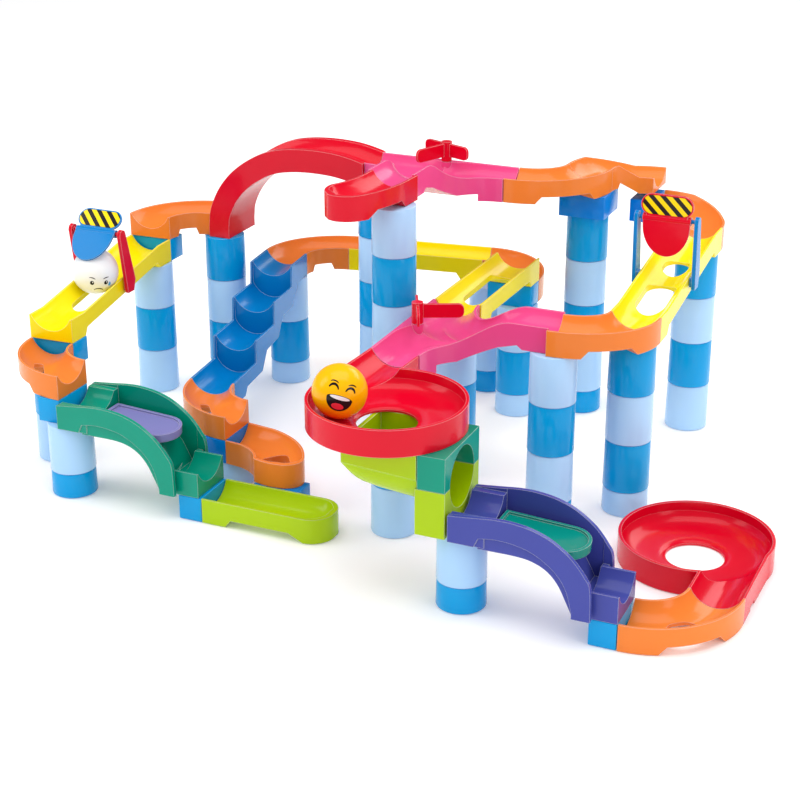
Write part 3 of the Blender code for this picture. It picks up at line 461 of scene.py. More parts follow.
def flat_prism(name, outline, low, high, axis="Z", colour=None):
    """Outline extruded from low to high. Axis Z takes (x, y) points and axis Y takes (x, z)."""
    curve = bpy.data.curves.new(name, "CURVE")
    curve.dimensions = "2D"
    curve.fill_mode = "BOTH"
    curve.extrude = (high - low) / 2 * MM
    spline = curve.splines.new("POLY")
    spline.points.add(len(outline) - 1)
    for point, (a, b) in zip(spline.points, outline):
        point.co = (a * MM, b * MM, 0.0, 1.0)
    spline.use_cyclic_u = True
    drawn = bpy.data.objects.new(name, curve)
    PARTS.objects.link(drawn)
    evaluated = drawn.evaluated_get(bpy.context.evaluated_depsgraph_get())
    mesh = bpy.data.meshes.new_from_object(evaluated)
    bpy.data.objects.remove(drawn, do_unlink=True)
    mesh.name = name
    bm = bmesh.new()
    bm.from_mesh(mesh)
    bmesh.ops.remove_doubles(bm, verts=bm.verts, dist=0.00001)
    bmesh.ops.dissolve_limit(bm, angle_limit=0.001, verts=bm.verts, edges=bm.edges)
    middle = (low + high) / 2 * MM
    if axis == "Z":
        move = Matrix.Translation((0, 0, middle))
    else:
        move = Matrix.Translation((0, middle, 0)) @ Matrix.Rotation(math.radians(90), 4, "X")
    bmesh.ops.transform(bm, matrix=move, verts=bm.verts)
    bmesh.ops.recalc_face_normals(bm, faces=bm.faces)
    bm.to_mesh(mesh)
    bm.free()
    return add_object(name, mesh, colour)


def turned(name, profile, steps, colour=None):
    """Solid of revolution. The (radius, height) profile runs down the outer side."""
    mesh = bpy.data.meshes.new(name)
    points = [(radius * MM, 0.0, height * MM) for radius, height in profile]
    edges = [(i, i + 1) for i in range(len(points) - 1)]
    mesh.from_pydata(points, edges, [])
    item = add_object(name, mesh, colour)
    screw = item.modifiers.new("turn", "SCREW")
    screw.axis = "Z"
    screw.steps = steps
    screw.render_steps = steps
    screw.use_merge_vertices = True
    screw.merge_threshold = 0.00001
    return item


# ---------------------------------------------------------------- the channelled bar
def channel_section(half, inner, depth, under, height=LEVEL):
    """Outline of a bar with a round channel, as (side, height) pairs."""
    radius = (inner * inner + depth * depth) / (2 * depth)
    reach = math.asin(min(1.0, inner / radius))
    outline = [(-half, under), (half, under), (half, height)]
    for step in range(ARC_STEPS + 1):
        angle = reach - 2 * reach * step / ARC_STEPS
        outline.append((radius * math.sin(angle), height - depth + radius * (1 - math.cos(angle))))
    outline.append((-half, height))
    return outline


def groove_section(inner, depth, top):
    """Outline of the space above a round channel floor, as (side, height) pairs."""
    radius = (inner * inner + depth * depth) / (2 * depth)
    reach = math.acos(max(0.0, 1 - (depth + 0.8) / radius))
    wide = radius * math.sin(reach)
    outline = [(-wide, top), (wide, top)]
    for step in range(ARC_STEPS + 1):
        angle = reach - 2 * reach * step / ARC_STEPS
        outline.append((radius * math.sin(angle), radius * (1 - math.cos(angle))))
    return outline


def loft(name, stations, colour=None):
    """Skin over unlike sections. A station is (origin, side vector, up vector, outline)."""
    bm = bmesh.new()
    rings = []
    for origin, side, up, outline in stations:
        ring = [bm.verts.new(Vector(origin) + Vector(side) * s + Vector(up) * t)
                for s, t in outline]
        rings.append(ring)
    count = len(rings[0])
    for first, second in zip(rings, rings[1:]):
        for i in range(count):
            j = (i + 1) % count
            bm.faces.new((first[i], first[j], second[j], second[i]))
    bm.faces.new(rings[0])
    bm.faces.new(list(reversed(rings[-1])))
    return from_bmesh(bm, name, colour)


def straight(rows):
    """Stations square to X, from (x, height, outline) rows."""
    return [((x, 0, z), (0, 1, 0), (0, 0, 1), outline) for x, z, outline in rows]


def heading(yaw):
    return Vector((math.cos(yaw), math.sin(yaw), 0.0))


def bezier(start, control_a, control_b, end, t):
    u = 1 - t
    return tuple(u ** 3 * a + 3 * u * u * t * b + 3 * u * t * t * c + t ** 3 * d
                 for a, b, c, d in zip(start, control_a, control_b, end))


def plan_path(end_x, end_y, end_yaw, fine=400):
    """Smooth path from the origin, heading +X, to the end pose. Gives (length, x, y, yaw)."""
    turn = math.radians((end_yaw + 180.0) % 360.0 - 180.0)
    chord = math.hypot(end_x, end_y)
    if abs(turn) > math.radians(5):
        handle = 4 / 3 * math.tan(abs(turn) / 4) * chord / (2 * math.sin(abs(turn) / 2))
    else:
        handle = chord / 3
    head = (math.cos(turn), math.sin(turn))
    points = ((0.0, 0.0), (handle, 0.0),
              (end_x - handle * head[0], end_y - handle * head[1]), (end_x, end_y))
    path = []
    run = 0.0
    last = (0.0, 0.0)
    for i in range(fine + 1):
        t = i / fine
        x, y = bezier(*points, t)
        ahead = bezier(*points, min(1.0, t + 0.001))
        behind = bezier(*points, max(0.0, t - 0.001))
        run += math.hypot(x - last[0], y - last[1])
        last = (x, y)
        path.append((run, x, y, math.atan2(ahead[1] - behind[1], ahead[0] - behind[0])))
    path[-1] = (run, end_x, end_y, turn)
    path[0] = (0.0, 0.0, 0.0, 0.0)
    return path


def at_length(path, distance):
    """The path's row nearest to a distance along it."""
    return min(path, key=lambda row: abs(row[0] - distance))


def ramp(value, low, high):
    """Share of the way from low to high, held between 0 and 1."""
    return min(1.0, max(0.0, (value - low) / (high - low)))


def local_end(start, end):
    """End pose in the frame of the start pose. A pose is (x, y, yaw, level)."""
    angle = math.radians(start[2])
    dx, dy = end[0] - start[0], end[1] - start[1]
    x = dx * math.cos(angle) + dy * math.sin(angle)
    y = -dx * math.sin(angle) + dy * math.cos(angle)
    return x, y, end[2] - start[2], (end[3] - start[3]) * LEVEL


def track_stations(length, turn, straight_steps=3):
    """Distances where a track gets a section: its feet, their slants and the turn between."""
    marks = [GAP / 2, FOOT, FOOT + FOOT_SLANT, length - FOOT - FOOT_SLANT, length - FOOT,
             length - GAP / 2]
    steps = max(straight_steps, int(round(abs(turn) / TURN_STEP)))
    low, high = marks[0], marks[-1]
    for i in range(1, steps):
        distance = low + (high - low) * i / steps
        if min(abs(distance - mark) for mark in marks) > 1.2:
            marks.append(distance)
    return sorted(marks)


def track(name, start, end, colour, feet=(True, True)):
    """Channelled bar between two joint poses, with a raised underside between its feet."""
    x, y, turn, drop = local_end(start, end)
    path = plan_path(x, y, turn)
    length = path[-1][0]
    bent = math.degrees(path[-1][3])
    stations = []
    for distance in track_stations(length, bent):
        row, shift = at_length(path, distance), 0.0
        if distance == GAP / 2:
            row, shift = path[0], distance
        elif distance == length - GAP / 2:
            row, shift = path[-1], distance - length
        head = heading(row[3])
        point = Vector((row[1], row[2], 0.0)) + head * shift
        point.z = drop * ramp(distance, FOOT, length - FOOT)
        raise_in = ramp(distance, FOOT, FOOT + FOOT_SLANT) if feet[0] else 1.0
        raise_out = ramp(length - distance, FOOT, FOOT + FOOT_SLANT) if feet[1] else 1.0
        under = UNDERCUT * min(raise_in, raise_out)
        side = Vector((-head.y, head.x, 0.0))
        outline = channel_section(TRACK_WIDTH / 2, TRACK_WIDTH / 2 - RIM, CHANNEL_DEPTH, under)
        stations.append((point, side, (0, 0, 1), outline))
    item = loft(name, stations, colour)
    return place(item, start[0], start[1], start[3] * LEVEL, start[2])


def oval_cutter(name, centre, length, width, low, high, turn=0.0):
    """Upright cutter with round ends, long side along its own +X turned by an angle."""
    radius = width / 2
    reach = length / 2 - radius
    outline = (arc((reach, 0.0), (radius, radius), -90, 90, 20)
               + arc((-reach, 0.0), (radius, radius), 90, 270, 20))
    angle = math.radians(turn)
    turned_outline = [(centre[0] + px * math.cos(angle) - py * math.sin(angle),
                       centre[1] + px * math.sin(angle) + py * math.cos(angle))
                      for px, py in outline]
    return flat_prism(name, turned_outline, low, high)


# ---------------------------------------------------------------- columns and blocks
def column(name, x, y, top, seams, tones, block):
    """Stack of plugged tubes, each a little narrower at its top, with any block on it."""
    levels = [top] + sorted(seams, reverse=True) + [0]
    colours = [TUBE_TONE[letter] for letter in tones]
    for index, (high, low) in enumerate(zip(levels, levels[1:])):
        z_low = low * LEVEL + (0.25 if low else 0.0)
        z_high = high * LEVEL - (GAP if high == top else 0.0)
        r_low, r_high = TUBE_RADIUS, TUBE_RADIUS - TUBE_TAPER
        profile = [(0.0, z_high), (r_high - 0.9, z_high), (r_high - 0.3, z_high - 0.25),
                   (r_high, z_high - 0.9), (r_low, z_low + 1.0), (r_low - 0.3, z_low + 0.25),
                   (r_low - 0.9, z_low), (0.0, z_low)]
        tube = turned(f"{name}_tube_{index}", profile, TUBE_SIDES, colours[index])
        place(tube, x, y, 0.0)
        STANDS_FOR[tube.name] = (name, "run")
    if block:
        low_x, low_y, size_x, size_y = block
        cube = spacer(name + "_block", size_x, size_y, LEVEL, colours[-1])
        place(cube, low_x, low_y, top * LEVEL - GAP)
        STANDS_FOR[cube.name] = (name, "run")


def spacer(name, size_x, size_y, height, colour):
    """Spacer block with softened edges."""
    item = box(name, (0, 0, 0), (size_x, size_y, height), colour)
    soften(item, 0.8)
    return item


def block(name, x, y, size_x, size_y, level, colour):
    """Spacer block one level high, given by its low corner."""
    item = spacer(name, size_x, size_y, LEVEL - GAP, colour)
    return place(item, x, y, level * LEVEL)


# ---------------------------------------------------------------- T junction
def junction_outline(half_span):
    """Plan of the T: stem toward +X, exits at both ends of Y, with round inner corners."""
    half = TRACK_WIDTH / 2
    fillet = half_span - half
    stem, way_out = JUNCTION_STEM - GAP, half_span - GAP
    return ([(stem, -half), (stem, half)]
            + arc((half_span, half_span), (fillet, fillet), 270, 180, 18)
            + [(half, way_out), (-half, way_out), (-half, -way_out), (half, -way_out)]
            + arc((half_span, -half_span), (fillet, fillet), 180, 90, 18))


def junction_height(x):
    """Height of the rim above the exits' rim: the stem is one level up."""
    share = ramp(x, 34.0, 96.0)
    return LEVEL * share * share * (3 - 2 * share)


def turn_path(radius, half_span, sign, extra):
    """Route from the stem to one exit: straight, a quarter turn, straight."""
    points = [(JUNCTION_STEM + extra, 0.0, math.pi)]
    for x in (104.0, 96.0, 85.0, 75.0, 65.0, 55.0, 45.0):
        if x > radius + 4:
            points.append((x, 0.0, math.pi))
    for i in range(17):
        angle = math.radians(90 * i / 16)
        x = radius - radius * math.sin(angle)
        y = radius - radius * math.cos(angle)
        points.append((x, sign * y, math.pi - sign * angle))
    points.append((0.0, sign * (half_span + extra), sign * math.pi / 2))
    return points


def junction_channel(name, radius, half_span, sign, trim):
    """Cutter for the ball's route from the stem to one exit."""
    stations = []
    for x, y, yaw in turn_path(radius, half_span, sign, 6.0 + trim):
        side = (-math.sin(yaw), math.cos(yaw), 0)
        base = LEVEL - CHANNEL_DEPTH + junction_height(x) + trim
        outline = groove_section(TRACK_WIDTH / 2 - RIM - trim, CHANNEL_DEPTH, 70.0)
        stations.append(((x, y, base), side, (0, 0, 1), outline))
    return loft(name, stations)


def junction(name, x, y, yaw, level, half_span, hub):
    """Ball drops in from the stem and leaves by one of the two exits below."""
    item = flat_prism(name, junction_outline(half_span), 0.0, 2 * LEVEL, colour="pink")
    place(item, x, y, level * LEVEL, yaw)
    slope = [(px, LEVEL + junction_height(px)) for px in range(102, 18, -2)]
    top = [(-30.0, LEVEL), (-30.0, 70.0), (JUNCTION_STEM + 5, 70.0), (JUNCTION_STEM + 5, 2 * LEVEL + 0.01)]
    cut(item, flat_prism(name + "_top", top + slope, -90.0, 90.0, axis="Y"))
    under = [(36.0, 0.6), (JUNCTION_STEM + 5, 0.6), (JUNCTION_STEM + 5, LEVEL),
             (JUNCTION_STEM - FOOT, LEVEL), (JUNCTION_STEM - FOOT - 5, LEVEL + 4.0),
             (82.0, LEVEL - 1.0), (62.0, 15.0), (46.0, UNDERCUT + 0.4)]
    cut(item, flat_prism(name + "_under", under, -90.0, 90.0, axis="Y"))
    low = half_span - FOOT
    for index, (radius, trim) in enumerate(((half_span - 1.0, 0.0), (34.0, 0.25))):
        for sign in (1, -1):
            extra = trim + 0.1 * (sign > 0)
            tool = junction_channel(f"{name}_way_{index}_{sign + 1}", radius, half_span, sign, extra)
            cut(item, tool)
    cut(item, box(name + "_mid", (-40, -low, -5), (JUNCTION_STEM + 10, low, UNDERCUT)))
    join(item, rod(name + "_boss", HUB_RADIUS, (hub, 0, UNDERCUT + 1), (hub, 0, LEVEL + 1.4), 16))
    join(item, rod(name + "_pin", PIN_RADIUS, (hub, 0, LEVEL), (hub, 0, LEVEL + 13), 12))
    return item


def blade_outline(length, low, corner=5.5):
    """Side view of a blade: straight from the hub, with round outer corners."""
    bottom, top = low + BLADE_LOW, low + BLADE_HIGH
    return ([(0.0, bottom)] + arc((length - corner, bottom + corner), (corner, corner), -90, 0, 9)
            + arc((length - corner, top - corner), (corner, corner), 0, 90, 9) + [(0.0, top)])


def diverter(name, x, y, level, first_angle):
    """Flip-flop with three flat blades a quarter turn apart, on the pin's axis."""
    low = 1.9
    item = rod(name, HUB_RADIUS, (0, 0, low), (0, 0, low + HUB_HEIGHT), 48, "red")
    place(item, x, y, level * LEVEL)
    for i, length in enumerate(BLADE_LENGTHS):
        blade = flat_prism(f"{name}_blade_{i}", blade_outline(length, low), -BLADE_THICK / 2,
                           BLADE_THICK / 2, axis="Y")
        blade.rotation_euler = (0, 0, math.radians(first_angle + 90 * i))
        join(item, blade)
    cut(item, rod(name + "_bore", PIN_RADIUS + 0.5, (0, 0, 0), (0, 0, 14.5), 12))
    return item


# ---------------------------------------------------------------- dishes
def dish(name, x, y, yaw, level, side):
    """Round dish fed by a tangent inlet. The origin is the inlet joint, heading +X."""
    centre = (DISH_INLET_AHEAD, side * DISH_INLET_SIDE)
    half = TRACK_WIDTH / 2
    item = rod(name, DISH_RADIUS, (*centre, 0), (*centre, LEVEL), 96, "red")
    place(item, x, y, level * LEVEL, yaw)
    outer = -side * (DISH_RADIUS - DISH_INLET_SIDE)
    tail = [(GAP / 2, -half), (GAP / 2, half), (DISH_INLET_AHEAD - 20, half),
            (DISH_INLET_AHEAD, 0), (DISH_INLET_AHEAD, outer + side * 1.2), (30.0, -side * half)]
    join(item, flat_prism(name + "_tail", tail, 0.0, LEVEL))
    bowl = [(0.0, 40.0), (DISH_RADIUS - DISH_WALL, 40.0), (DISH_RADIUS - DISH_WALL, 16.0),
            (64.0, 10.5), (56.0, 7.0), (44.0, 5.2), (31.0, 4.2), (DISH_HOLE, 2.0),
            (DISH_HOLE, -5.0), (0.0, -5.0)]
    tool = turned(name + "_bowl", smooth_profile(bowl), 96)
    tool.location = Vector((*centre, 0.0)) * MM
    cut(item, tool)
    inlet = [(distance, base, groove_section(half - RIM, depth, 30.0))
             for distance, depth, base in ((-5.0, CHANNEL_DEPTH, 10.0), (30.0, CHANNEL_DEPTH, 10.0),
                                           (60.0, 16.0, 9.0), (DISH_INLET_AHEAD, 17.5, 7.5))]
    cut(item, loft(name + "_inlet", straight(inlet)))
    cut(item, box(name + "_arch", (FOOT, -half - 5, -5), (40.0, half + 5, 4.0)))
    return item


# ---------------------------------------------------------------- small arch slide and tongue
RAIL = rounded([(GAP / 2, 50), (24, 50), (28, 58.5), (40, 60.3), (51, 60.4), (62, 59), (73, 56.2), (86, 49.5),
        (99, 38.5), (107, 25.3), (111.5, 8.2), (112, 1), (128.6, 1), (127.4, 31.2), (122, 42.4),
        (112.5, 54.5), (103, 62.5), (93, 69), (83, 73.5), (72, 76.7), (61, 78.4), (50, 79.1),
        (38, 78.6), (24, 77), (GAP / 2, 74.5)])
WELL = rounded([(27, 64), (27, 48), (62, 48), (78, 45.3), (90, 39), (99, 29), (106, 15.5), (112, 3), (124, 2),
        (124, 18), (110, 30), (101, 43), (89, 54), (78, 61), (62, 65)])
WELL_SPACE = [(30, 90), (30, 50), (62, 50), (79, 47.3), (92, 40.8), (101.5, 30.5), (108.5, 17.5),
              (112, 10.2), (119, 10.2), (119, 90)]


def small_slide(name, x, y, yaw, level, colour):
    """Two-level drop between arched side rails, with a well for the rocking tongue."""
    item = flat_prism(name, WELL, 2 - SIDE_OUTER, SIDE_OUTER - 2, axis="Y", colour=colour)
    place(item, x, y, level * LEVEL, yaw)
    for sign, word in ((1, "left"), (-1, "right")):
        low, high = sorted((sign * (SIDE_OUTER - RAIL_THICK), sign * SIDE_OUTER))
        join(item, flat_prism(f"{name}_rail_{word}", RAIL, low, high, axis="Y"))
    half = TRACK_WIDTH / 2
    join(item, box(name + "_start", (GAP / 2, -SIDE_OUTER + 1, 50), (33, SIDE_OUTER - 1, 74)))
    join(item, box(name + "_shoulder", (118, -SIDE_OUTER + 2, 1.5), (125, SIDE_OUTER - 2, 24)))
    join(item, box(name + "_exit", (119.5, -half, 0), (SMALL_SLIDE_LENGTH - GAP / 2, half, LEVEL)))
    cut(item, flat_prism(name + "_well", WELL_SPACE, -SIDE_INNER, SIDE_INNER, axis="Y"))
    for word, low, high, base in (("in", -5, 36, 60), ("out", 110, 155, 10)):
        outline = groove_section(half - RIM, CHANNEL_DEPTH, 40.0)
        cut(item, loft(f"{name}_way_{word}", straight([(low, base, outline), (high, base, outline)])))
    cut(item, rod(name + "_pivot", TONGUE_PIN + 0.5, (TONGUE_AXIS[0], -31.3, TONGUE_AXIS[1]),
                  (TONGUE_AXIS[0], 31.3, TONGUE_AXIS[1]), 16))
    return item


def paddle_outline(rim):
    """Plan of the tongue, square behind and round ahead, drawn in by a rim."""
    half = TONGUE_HALF - rim
    return ([(TONGUE_BACK + rim, -half)]
            + arc((TONGUE_ROUND_FROM, 0.0), (TONGUE_ROUND - rim, half), -90, 90, 32)
            + [(TONGUE_BACK + rim, half)])


def tongue(name, x, y, yaw, level, colour):
    """Rocking paddle with a rimmed pocket. Its origin is on the cross pin it rocks about."""
    item = flat_prism(name, paddle_outline(0.0), TONGUE_LOW, TONGUE_HIGH, colour=colour)
    angle = math.radians(yaw)
    place(item, x + TONGUE_AXIS[0] * math.cos(angle), y + TONGUE_AXIS[0] * math.sin(angle),
          level * LEVEL + TONGUE_AXIS[1], yaw)
    item.rotation_euler.y = math.radians(TONGUE_TILT)
    cut(item, flat_prism(name + "_dish", paddle_outline(TONGUE_RIM), TONGUE_FLOOR, 9.0))
    join(item, rod(name + "_pin", TONGUE_PIN, (0, -31.0, 0), (0, 31.0, 0), 12))
    return item


# ---------------------------------------------------------------- tall arch slide
ARCH_RIM = catmull([(0, 100), (16, 104.5), (32, 107.5), (50, 109), (68, 109.2), (86, 108), (104, 105),
            (120, 99.5), (134, 92), (147, 83), (159, 72), (170, 58), (178, 43), (183, 28),
            (185, 12), (185, 0)])


def arch(name, x, y, yaw, level, sway):
    """Channelled bar bent over like a banana, three levels down, with a solid foot."""
    half = TRACK_WIDTH / 2 + 5
    stations = []
    for index, (u, z) in enumerate(ARCH_RIM):
        before = ARCH_RIM[max(0, index - 1)]
        after = ARCH_RIM[min(len(ARCH_RIM) - 1, index + 1)]
        tangent = Vector((after[0] - before[0], 0.0, after[1] - before[1])).normalized()
        up = Vector((-tangent.z, 0.0, tangent.x))
        if index == 0:
            u, up = GAP / 2, Vector((0.0, 0.0, 1.0))
        if index >= len(ARCH_RIM) - 2:
            up = Vector((1.0, 0.0, 0.0))
        origin = Vector((u - (GAP if u > 184 else 0.0), sway * u / 185.0, z)) - up * LEVEL
        outline = channel_section(half, TRACK_WIDTH / 2 - RIM, CHANNEL_DEPTH, 0.0)
        stations.append((origin, (0, 1, 0), up, outline))
    item = loft(name, stations, "red")
    place(item, x, y, level * LEVEL, yaw)
    foot = [(161, 0), (185 - GAP, 0), (185 - GAP, 10), (177, 11.5), (171.5, 16), (169, 24), (163, 24)]
    join(item, flat_prism(name + "_foot", foot, sway - half + 3, sway + half - 3, axis="Y"))
    return item


# ---------------------------------------------------------------- stairs
STAIR_TOP = [(GAP / 2, 100), (47, 100), (49, 75.5), (101, 75.5), (103, 50), (155, 50), (157, 25)]
STAIR_UNDER = [(30, 75), (35, 67), (48, 53), (74, 52), (84, 44), (92, 32), (126, 29), (140, 10),
               (183, 8.5), (189, 0)]


def stairs(name, start, end):
    """Four dished steps, each one level under the last."""
    x, y = local_end(start, end)[:2]
    length = math.hypot(x, y)
    yaw = start[2] + math.degrees(math.atan2(y, x))
    side = STAIR_TOP + [(length - GAP / 2, 25), (length - GAP / 2, 0)]
    side += list(reversed(STAIR_UNDER)) + [(GAP / 2, 75)]
    half = TRACK_WIDTH / 2
    item = flat_prism(name, side, -half, half, axis="Y", colour="blue")
    place(item, start[0], start[1], end[3] * LEVEL, yaw)
    edges = (-5.0, 49.5, 103.5, 157.5, length + 5)
    for step in range(4):
        base = 85.0 - LEVEL * step
        outline = groove_section(half - RIM, CHANNEL_DEPTH, 60.0)
        low = edges[step] - (0.0 if step == 0 else 6.0)
        way = straight([(low, base, outline), (edges[step + 1], base, outline)])
        cut(item, loft(f"{name}_step_{step}", way))
    return item


# ---------------------------------------------------------------- closed-end tracks
def closed_track(name, start, end, colour, end_taper, floor_rise=0.0, slot=None, raised=True):
    """Channelled bar whose far end is closed by a rounded wall."""
    x, y, turn, drop = local_end(start, end)
    path = plan_path(x, y, turn)
    length = path[-1][0]
    half = TRACK_WIDTH / 2
    marks = [GAP / 2, FOOT, FOOT + 6]
    steps = max(5, int(round(abs(math.degrees(path[-1][3])) / 5)))
    finish = length - end_taper
    marks += [FOOT + 6 + (finish - FOOT - 6) * i / steps for i in range(1, steps + 1)]
    for share in (0.18, 0.35, 0.5, 0.62, 0.73, 0.82, 0.89, 0.94, 0.975, 1.0):
        marks.append(finish + end_taper * share)
    blank = []
    groove = []
    for distance in marks:
        row = at_length(path, distance)
        head = heading(row[3])
        point = Vector((row[1], row[2], drop * ramp(distance, FOOT, length)))
        if distance == GAP / 2:
            point = Vector((GAP / 2, 0.0, 0.0))
        side = Vector((-head.y, head.x, 0.0))
        beyond = max(0.0, distance - finish) / end_taper
        outer = half * math.sqrt(max(0.04, 1 - (beyond * 0.97) ** 2))
        under = UNDERCUT * ramp(distance, FOOT, FOOT + 6) * ramp(length - distance, 30, 36)
        if not raised:
            under = 0.0
        outline = [(-outer, under), (outer, under), (outer, LEVEL), (-outer, LEVEL)]
        blank.append((point, side, (0, 0, 1), outline))
        shrink = max(0.0, distance - (finish - 3)) / (end_taper - 1.5)
        inner = (half - RIM) * math.sqrt(max(0.0, 1 - shrink * shrink))
        if inner > 2.0 and distance != GAP / 2:
            rise = floor_rise * ramp(distance, FOOT, length)
            depth = CHANNEL_DEPTH * (1 - 0.45 * shrink * shrink) - rise
            base = LEVEL - depth
            groove.append((point + Vector((0, 0, base)), side, (0, 0, 1),
                           groove_section(inner, depth, 20.0)))
    mouth = (Vector((-5.0, 0.0, LEVEL - CHANNEL_DEPTH)), Vector((0, 1, 0)), (0, 0, 1),
             groove_section(half - RIM, CHANNEL_DEPTH, 20.0))
    item = loft(name, blank, colour)
    place(item, start[0], start[1], start[3] * LEVEL, start[2])
    if slot:
        centre, size, width, angle = slot
        cut(item, oval_cutter(name + "_slot", centre, size, width, -20.0, 20.0, angle))
    cut(item, loft(name + "_way", [mouth] + groove))
    return item


# ---------------------------------------------------------------- catch ramp and tunnel
def trough_section(half, low, round_low, top):
    """Outline with upright sides and a round belly, as (side, height) pairs."""
    belly_top = low - CATCH_INSET
    belly = arc((0.0, belly_top), (half - CATCH_INSET, round_low - belly_top), 0, 180, 32)
    return [(half, top), (half, low)] + belly + [(-half, low), (-half, top)]


def catch_ramp(name, x, y, level):
    """Trough that catches the ball under the dish, one piece with the tunnel's lower half."""
    low = -TUNNEL_THICK
    item = box(name, (low - 2, -CATCH_HALF, 0.0), (0.0, CATCH_HALF, TUNNEL_SEAM - GAP), "lime")
    place(item, x, y, level * LEVEL)
    belly = [(low - 0.7 - (CATCH_LENGTH - 0.7) * share, 0,
              trough_section(CATCH_HALF, 51.0 + 4.0 * share, height, TUNNEL_TOP))
             for share, height in CATCH_BELLY]
    space = [(low - CATCH_LENGTH * share, 0,
              trough_section(CATCH_HALF - CATCH_WALL, 52.5 + 4.0 * share, height, TUNNEL_TOP + 10))
             for share, height in CATCH_SPACE]
    join(item, loft(name + "_belly", straight(belly)))
    cut(item, loft(name + "_space", straight(space)))
    cut(item, rod(name + "_bore", TUNNEL_RADIUS, (low - 4, 0, TUNNEL_AXIS), (5, 0, TUNNEL_AXIS), 72))
    return item


def tunnel_top(name, x, y, level):
    """Upper tunnel half: a block with an arched passage, its flat top carries the dish."""
    item = box(name, (-TUNNEL_THICK + 0.1, -CATCH_HALF, TUNNEL_SEAM), (0.0, CATCH_HALF, TUNNEL_TOP), "green")
    place(item, x, y, level * LEVEL)
    return cut(item, rod(name + "_bore", TUNNEL_RADIUS, (-TUNNEL_THICK - 5, 0, TUNNEL_AXIS),
                         (5, 0, TUNNEL_AXIS), 72))


# ---------------------------------------------------------------- swing gates
def gate_frame(name, x, y, hinge_z, foot_z, foot_shift, colour):
    """Two posts outside the track walls, held by the pivot rod. The origin is on the rod."""
    drop = hinge_z - foot_z
    item = rod(name, GATE_ROD, (-GATE_HALF - 2, 0, 0), (GATE_HALF + 2, 0, 0), 16, colour)
    place(item, x, y, hinge_z)
    w = POST_WIDTH / 2
    post = [(-w, 0), (-w * 0.7, w * 0.7), (0, w), (w * 0.7, w * 0.7), (w, 0),
            (foot_shift + w + 4, -drop + 12), (foot_shift + w, -drop), (foot_shift - w, -drop)]
    for sign, word in ((1, "right"), (-1, "left")):
        turned_post = [(b, a) for b, a in post]
        low, high = sorted((sign * GATE_HALF, sign * (GATE_HALF + POST_THICK)))
        tool = flat_prism(f"{name}_{word}", turned_post, -high, -low, axis="Y")
        tool.rotation_euler = (0, 0, math.radians(90))
        join(item, tool)
        low, high = sorted((sign * CLIP_INNER, sign * (GATE_HALF + 0.5)))
        join(item, box(f"{name}_clip_{word}", (low, foot_shift - w + 1, -drop + 2),
                       (high, foot_shift + w - 1, -drop + 11)))
    return item


def gate_flap(name, x, y, hinge_z, swing, colour, flap_length):
    """D-shaped flap under the rod and a plate above it. The origin is on the rod."""
    half = FLAP_HALF
    item = rod(name, FLAP_TUBE, (-half - 0.5, 0, 0), (half + 0.5, 0, 0), 16, colour)
    place(item, x, y, hinge_z)
    item.rotation_euler = (math.radians(swing), 0, 0)
    belly = arc((0.0, -FLAP_SHOULDER), (half, FLAP_SHOULDER - flap_length), 0, 180, 32)
    outline = [(half, 1.0)] + belly + [(-half, 1.0)]
    join(item, flat_prism(name + "_d", outline, FLAP_FACE, FLAP_FACE + FLAP_THICK, axis="Y"))
    plate = mirrored([(half - 3, -1.0)] + arc(EAR_CENTRE, (EAR_RADIUS, EAR_RADIUS), -60, 90, 24))
    join(item, flat_prism(name + "_plate", plate, PLATE_FACE, PLATE_FACE + FLAP_THICK, axis="Y"))
    cut(item, rod(name + "_bore", GATE_ROD + 0.5, (-half - 5, 0, 0), (half + 5, 0, 0), 16))
    return item


def ball(name, x, y, z, colour):
    bm = bmesh.new()
    bmesh.ops.create_uvsphere(bm, u_segments=96, v_segments=48, radius=BALL_RADIUS)
    item = from_bmesh(bm, name, colour)
    return place(item, x, y, z)


# ---------------------------------------------------------------- the layout
def build_top_route():
    closed_track("start_piece", (-262, 35.8, 270, 11), (-292, -57, 222, 11), "red", 24.0,
                 floor_rise=3.0, slot=((52.0, -3.0), 30.0, 9.0, -8.0))
    junction("junction_top", -266, 167, -90, 10, 78.7, JUNCTION_HUB_TOP)
    diverter("diverter_top", -266, 181, 11, 158)
    arch("arch", -345, 168, 180, 7, 11)
    track("curve_a", (-187, 168, 0, 10), (-121, 228, 90, 10), "orange")
    track("curve_b", (-121, 228, 90, 10), (-60, 286, 0, 9.4), "orange", feet=(True, False))
    track("curve_c", (-60, 286, 0, 8.4), (0, 228, 270, 8), "orange", feet=(False, True))
    block("half_block_x", -85, 261, BLOCK_SHORT - GAP, BLOCK_LONG, 8.4, "deep_blue")
    slide = track("slide_right", (0, 228, 270, 8), (0, 3, 270, 7), "yellow")
    cut(slide, oval_cutter("slide_right_oval", (156, 0), 64, 30, -40, 8))
    cut(slide, oval_cutter("slide_right_small", (84, 0), 34, 26, -40, 14))
    track("curve_mid", (0, 2.6, 270, 7), (-62.3, -48, 180, 7), "orange")


